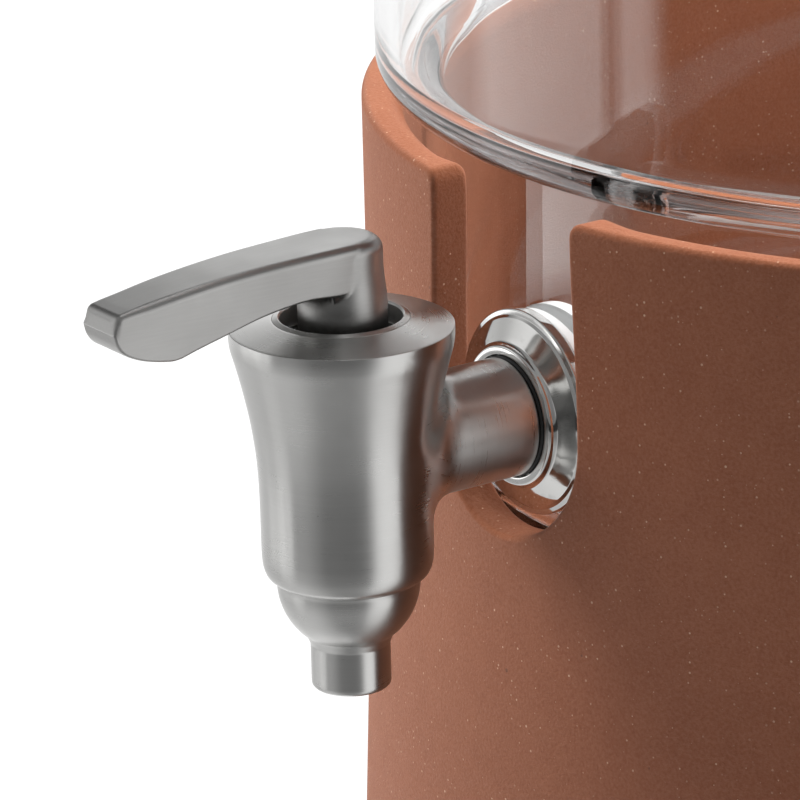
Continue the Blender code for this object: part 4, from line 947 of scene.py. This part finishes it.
# The cards round the set: at six heights, each card edge's turn from the camera and its lightness there
CARDS_DOWN = [(-180, 1.5), (-130, 1.4), (-110, 0.8), (-60, 0.55), (-20, 0.28), (30, 0.28), (60, 0.5),
              (100, 0.5), (180, 1.5)]
CARDS_LOW = [(-180, 1.3), (-165, 1.25), (-150, 1.0), (-130, 0.78), (-110, 0.73), (-90, 0.8), (-70, 0.8),
             (-50, 0.65), (-30, 0.46), (-10, 0.42), (10, 0.43), (28, 0.55), (40, 1.0), (60, 1.05), (84, 1.05),
             (94, 0.5), (180, 1.3)]
CARDS_LEVEL = [(-180, 1.1), (-165, 0.95), (-150, 0.72), (-130, 0.6), (-106, 0.38), (-97, 0.75), (-86, 0.75),
               (-78, 0.5), (-60, 0.55), (-45, 0.4), (-30, 0.22), (15, 0.18), (27, 0.23), (40, 1.1), (52, 1.25),
               (72, 1.25), (83, 1.15), (95, 0.5), (150, 0.6), (180, 1.1)]
CARDS_GLASS = [(-180, 1.0), (-122, 1.0), (-118, 2.0), (-87, 2.0), (-86, 0.3), (-84, 0.3), (-83, 2.0),
               (-77, 1.9), (-73, 0.03), (36, 0.03), (42, 1.0), (76, 1.0), (84, 0.6), (180, 1.0)]
CARDS_HIGH = [(-180, 1.7), (-172, 0.9), (-160, 0.25), (-138, 0.15), (-112, 0.9), (-78, 0.9), (-60, 0.3),
              (0, 0.2), (38, 0.3), (48, 1.1), (74, 1.1), (84, 0.35), (120, 0.5), (158, 0.6), (168, 1.7),
              (180, 1.7)]
CARDS_TOP = [(-180, 0.1), (-140, 0.05), (-110, 0.3), (0, 0.3), (70, 0.3), (95, 1.0), (150, 1.2), (166, 1.7),
             (180, 1.7)]


def make_cards():
    """White, grey and black cards all round the set, which only show as reflections. They are one ball round
    the tap, whose lightness is looked up by its turn from the camera in the six lists above, and mixed by
    its height, which is the sine of the angle above the tap."""
    cards = plain_item("reflector_cards", bmesh.ops.create_uvsphere, u_segments=48, v_segments=24, radius=1.0)
    cards.location = (0, TAP_Y * MM, TAP_Z * MM)
    cards.rotation_euler = (0, 0, math.radians(CAMERA_AZIMUTH))
    for kind in ("camera", "diffuse", "volume_scatter", "shadow"):
        setattr(cards, "visible_" + kind, False)
    recipe = Recipe("card_greys")
    parts = recipe.add("SeparateXYZ", {0: recipe.vector("NORMALIZE", recipe.place)})
    turn = recipe.math("ARCTAN2", parts.outputs[0], recipe.math("MULTIPLY", parts.outputs[1], -1.0))
    turn = recipe.span(turn, -math.pi, math.pi)
    rise = parts.outputs[2]

    def row(table):
        ramp = recipe.add("ValToRGB", {0: turn})
        for degrees, level in table:
            stop = ramp.color_ramp.elements.new((degrees + 180) / 360)
            stop.color = (level, level, level, 1)
        for end in (0, -1):
            ramp.color_ramp.elements[end].color = (*[table[end][1]] * 3, 1)
        return ramp.outputs[0]

    level = recipe.mix(recipe.span(rise, -0.95, -0.75), row(CARDS_DOWN), row(CARDS_LOW))
    level = recipe.mix(recipe.span(rise, -0.62, -0.4), level, row(CARDS_LEVEL))
    strip = recipe.math("MULTIPLY", recipe.span(rise, -0.30, -0.28), recipe.span(rise, -0.12, -0.10, 1.0, 0.0))
    level = recipe.mix(strip, level, row(CARDS_GLASS))
    level = recipe.mix(recipe.span(rise, 0.1, 0.3), level, row(CARDS_HIGH))
    level = recipe.mix(recipe.span(rise, 0.5, 0.62), level, row(CARDS_TOP))
    # Light that has crossed much glass sees the cards as one pale grey.
    deep = recipe.span(recipe.add("LightPath").outputs["Ray Depth"], 3.0, 6.0, 0.0, 0.6)
    level = recipe.mix(deep, level, (0.62, 0.6, 0.62))
    glow = recipe.add("Emission", {"Color": level, "Strength": 1.0})
    recipe.show(recipe.either(mirrored(recipe), recipe.add("BsdfTransparent"), glow))
    cards.data.materials.append(recipe.material)


def make_world():
    """White to the eye, in metal and through glass, and a softer white for the light it casts."""
    world = bpy.data.worlds.new("studio")
    bpy.context.scene.world = world
    world.use_nodes = True
    tree = world.node_tree
    shown, cast = tree.nodes["Background"], tree.nodes.new("ShaderNodeBackground")
    for node, colour, strength in ((shown, (1, 1, 1, 1), 1.0), (cast, (1, 0.99, 0.98, 1), WORLD_LIGHT)):
        node.inputs["Color"].default_value = colour
        node.inputs["Strength"].default_value = strength
    path = tree.nodes.new("ShaderNodeLightPath")
    both = tree.nodes.new("ShaderNodeMixShader")
    seen = path.outputs["Is Camera Ray"]
    for name in ("Is Glossy Ray", "Is Transmission Ray"):
        more = tree.nodes.new("ShaderNodeMath")
        more.operation = "MAXIMUM"
        tree.links.new(seen, more.inputs[0])
        tree.links.new(path.outputs[name], more.inputs[1])
        seen = more.outputs[0]
    tree.links.new(seen, both.inputs[0])
    tree.links.new(cast.outputs[0], both.inputs[1])
    tree.links.new(shown.outputs[0], both.inputs[2])
    tree.links.new(both.outputs[0], tree.nodes["World Output"].inputs["Surface"])


def add_lamp(name, azimuth, elevation, distance, size, power, aim=(0, -0.05, 0.2)):
    """A soft square lamp that faces the tap or another aim. Azimuth is counted from the camera's, to its
    right."""
    turn, rise = math.radians(CAMERA_AZIMUTH + azimuth), math.radians(elevation)
    toward = np.array([math.cos(rise) * math.sin(turn), -math.cos(rise) * math.cos(turn), math.sin(rise)])
    data = bpy.data.lights.new(name, "AREA")
    data.shape = "RECTANGLE"
    data.size, data.size_y = size
    data.energy = power
    lamp = bpy.data.objects.new(name, data)
    side = np.cross((0, 0, 1), toward)
    side /= np.linalg.norm(side)
    columns = np.stack([side, np.cross(toward, side), toward, np.array(aim) + toward * distance], 1)
    lamp.matrix_world = Matrix([*columns.tolist(), [0, 0, 0, 1]])
    for kind in ("camera", "glossy", "transmission"):
        setattr(lamp, "visible_" + kind, False)
    bpy.context.collection.objects.link(lamp)


def make_camera():
    """The photograph's view: a long lens about a metre away, a little above the rim, rolled a degree and a
    half."""
    data = bpy.data.cameras.new("camera")
    data.lens, data.sensor_width = 274.72, 36
    data.clip_start = 0.05
    camera = bpy.data.objects.new("camera", data)
    right = (0.56590528, 0.82409668, -0.02481696)
    up = (-0.24901513, 0.19953793, 0.94772152)
    back = (0.78596608, -0.53014082, 0.3181321)
    spot = (0.73737, -0.59806, 0.47341)
    camera.matrix_world = Matrix([*map(list, zip(right, up, back, spot)), [0, 0, 0, 1]])
    bpy.context.collection.objects.link(camera)
    bpy.context.scene.camera = camera


CAMERA_AZIMUTH = 56.0
WORLD_LIGHT = 0.12
make_camera()
make_floor()
make_cards()
make_world()
add_lamp("key_left", -124, 37, 1.6, (0.5, 0.7), 25)
add_lamp("through_glass", 152, 33, 1.6, (0.7, 0.5), 27)
add_lamp("inside_jar", 0, 75, 0.17, (0.1, 0.1), 0.25, aim=(0, AXIS_Y * MM, 0.15))
scene = bpy.context.scene
scene.view_settings.view_transform = "Standard"
scene.cycles.max_bounces = scene.cycles.transmission_bounces = 24
scene.cycles.glossy_bounces = 16
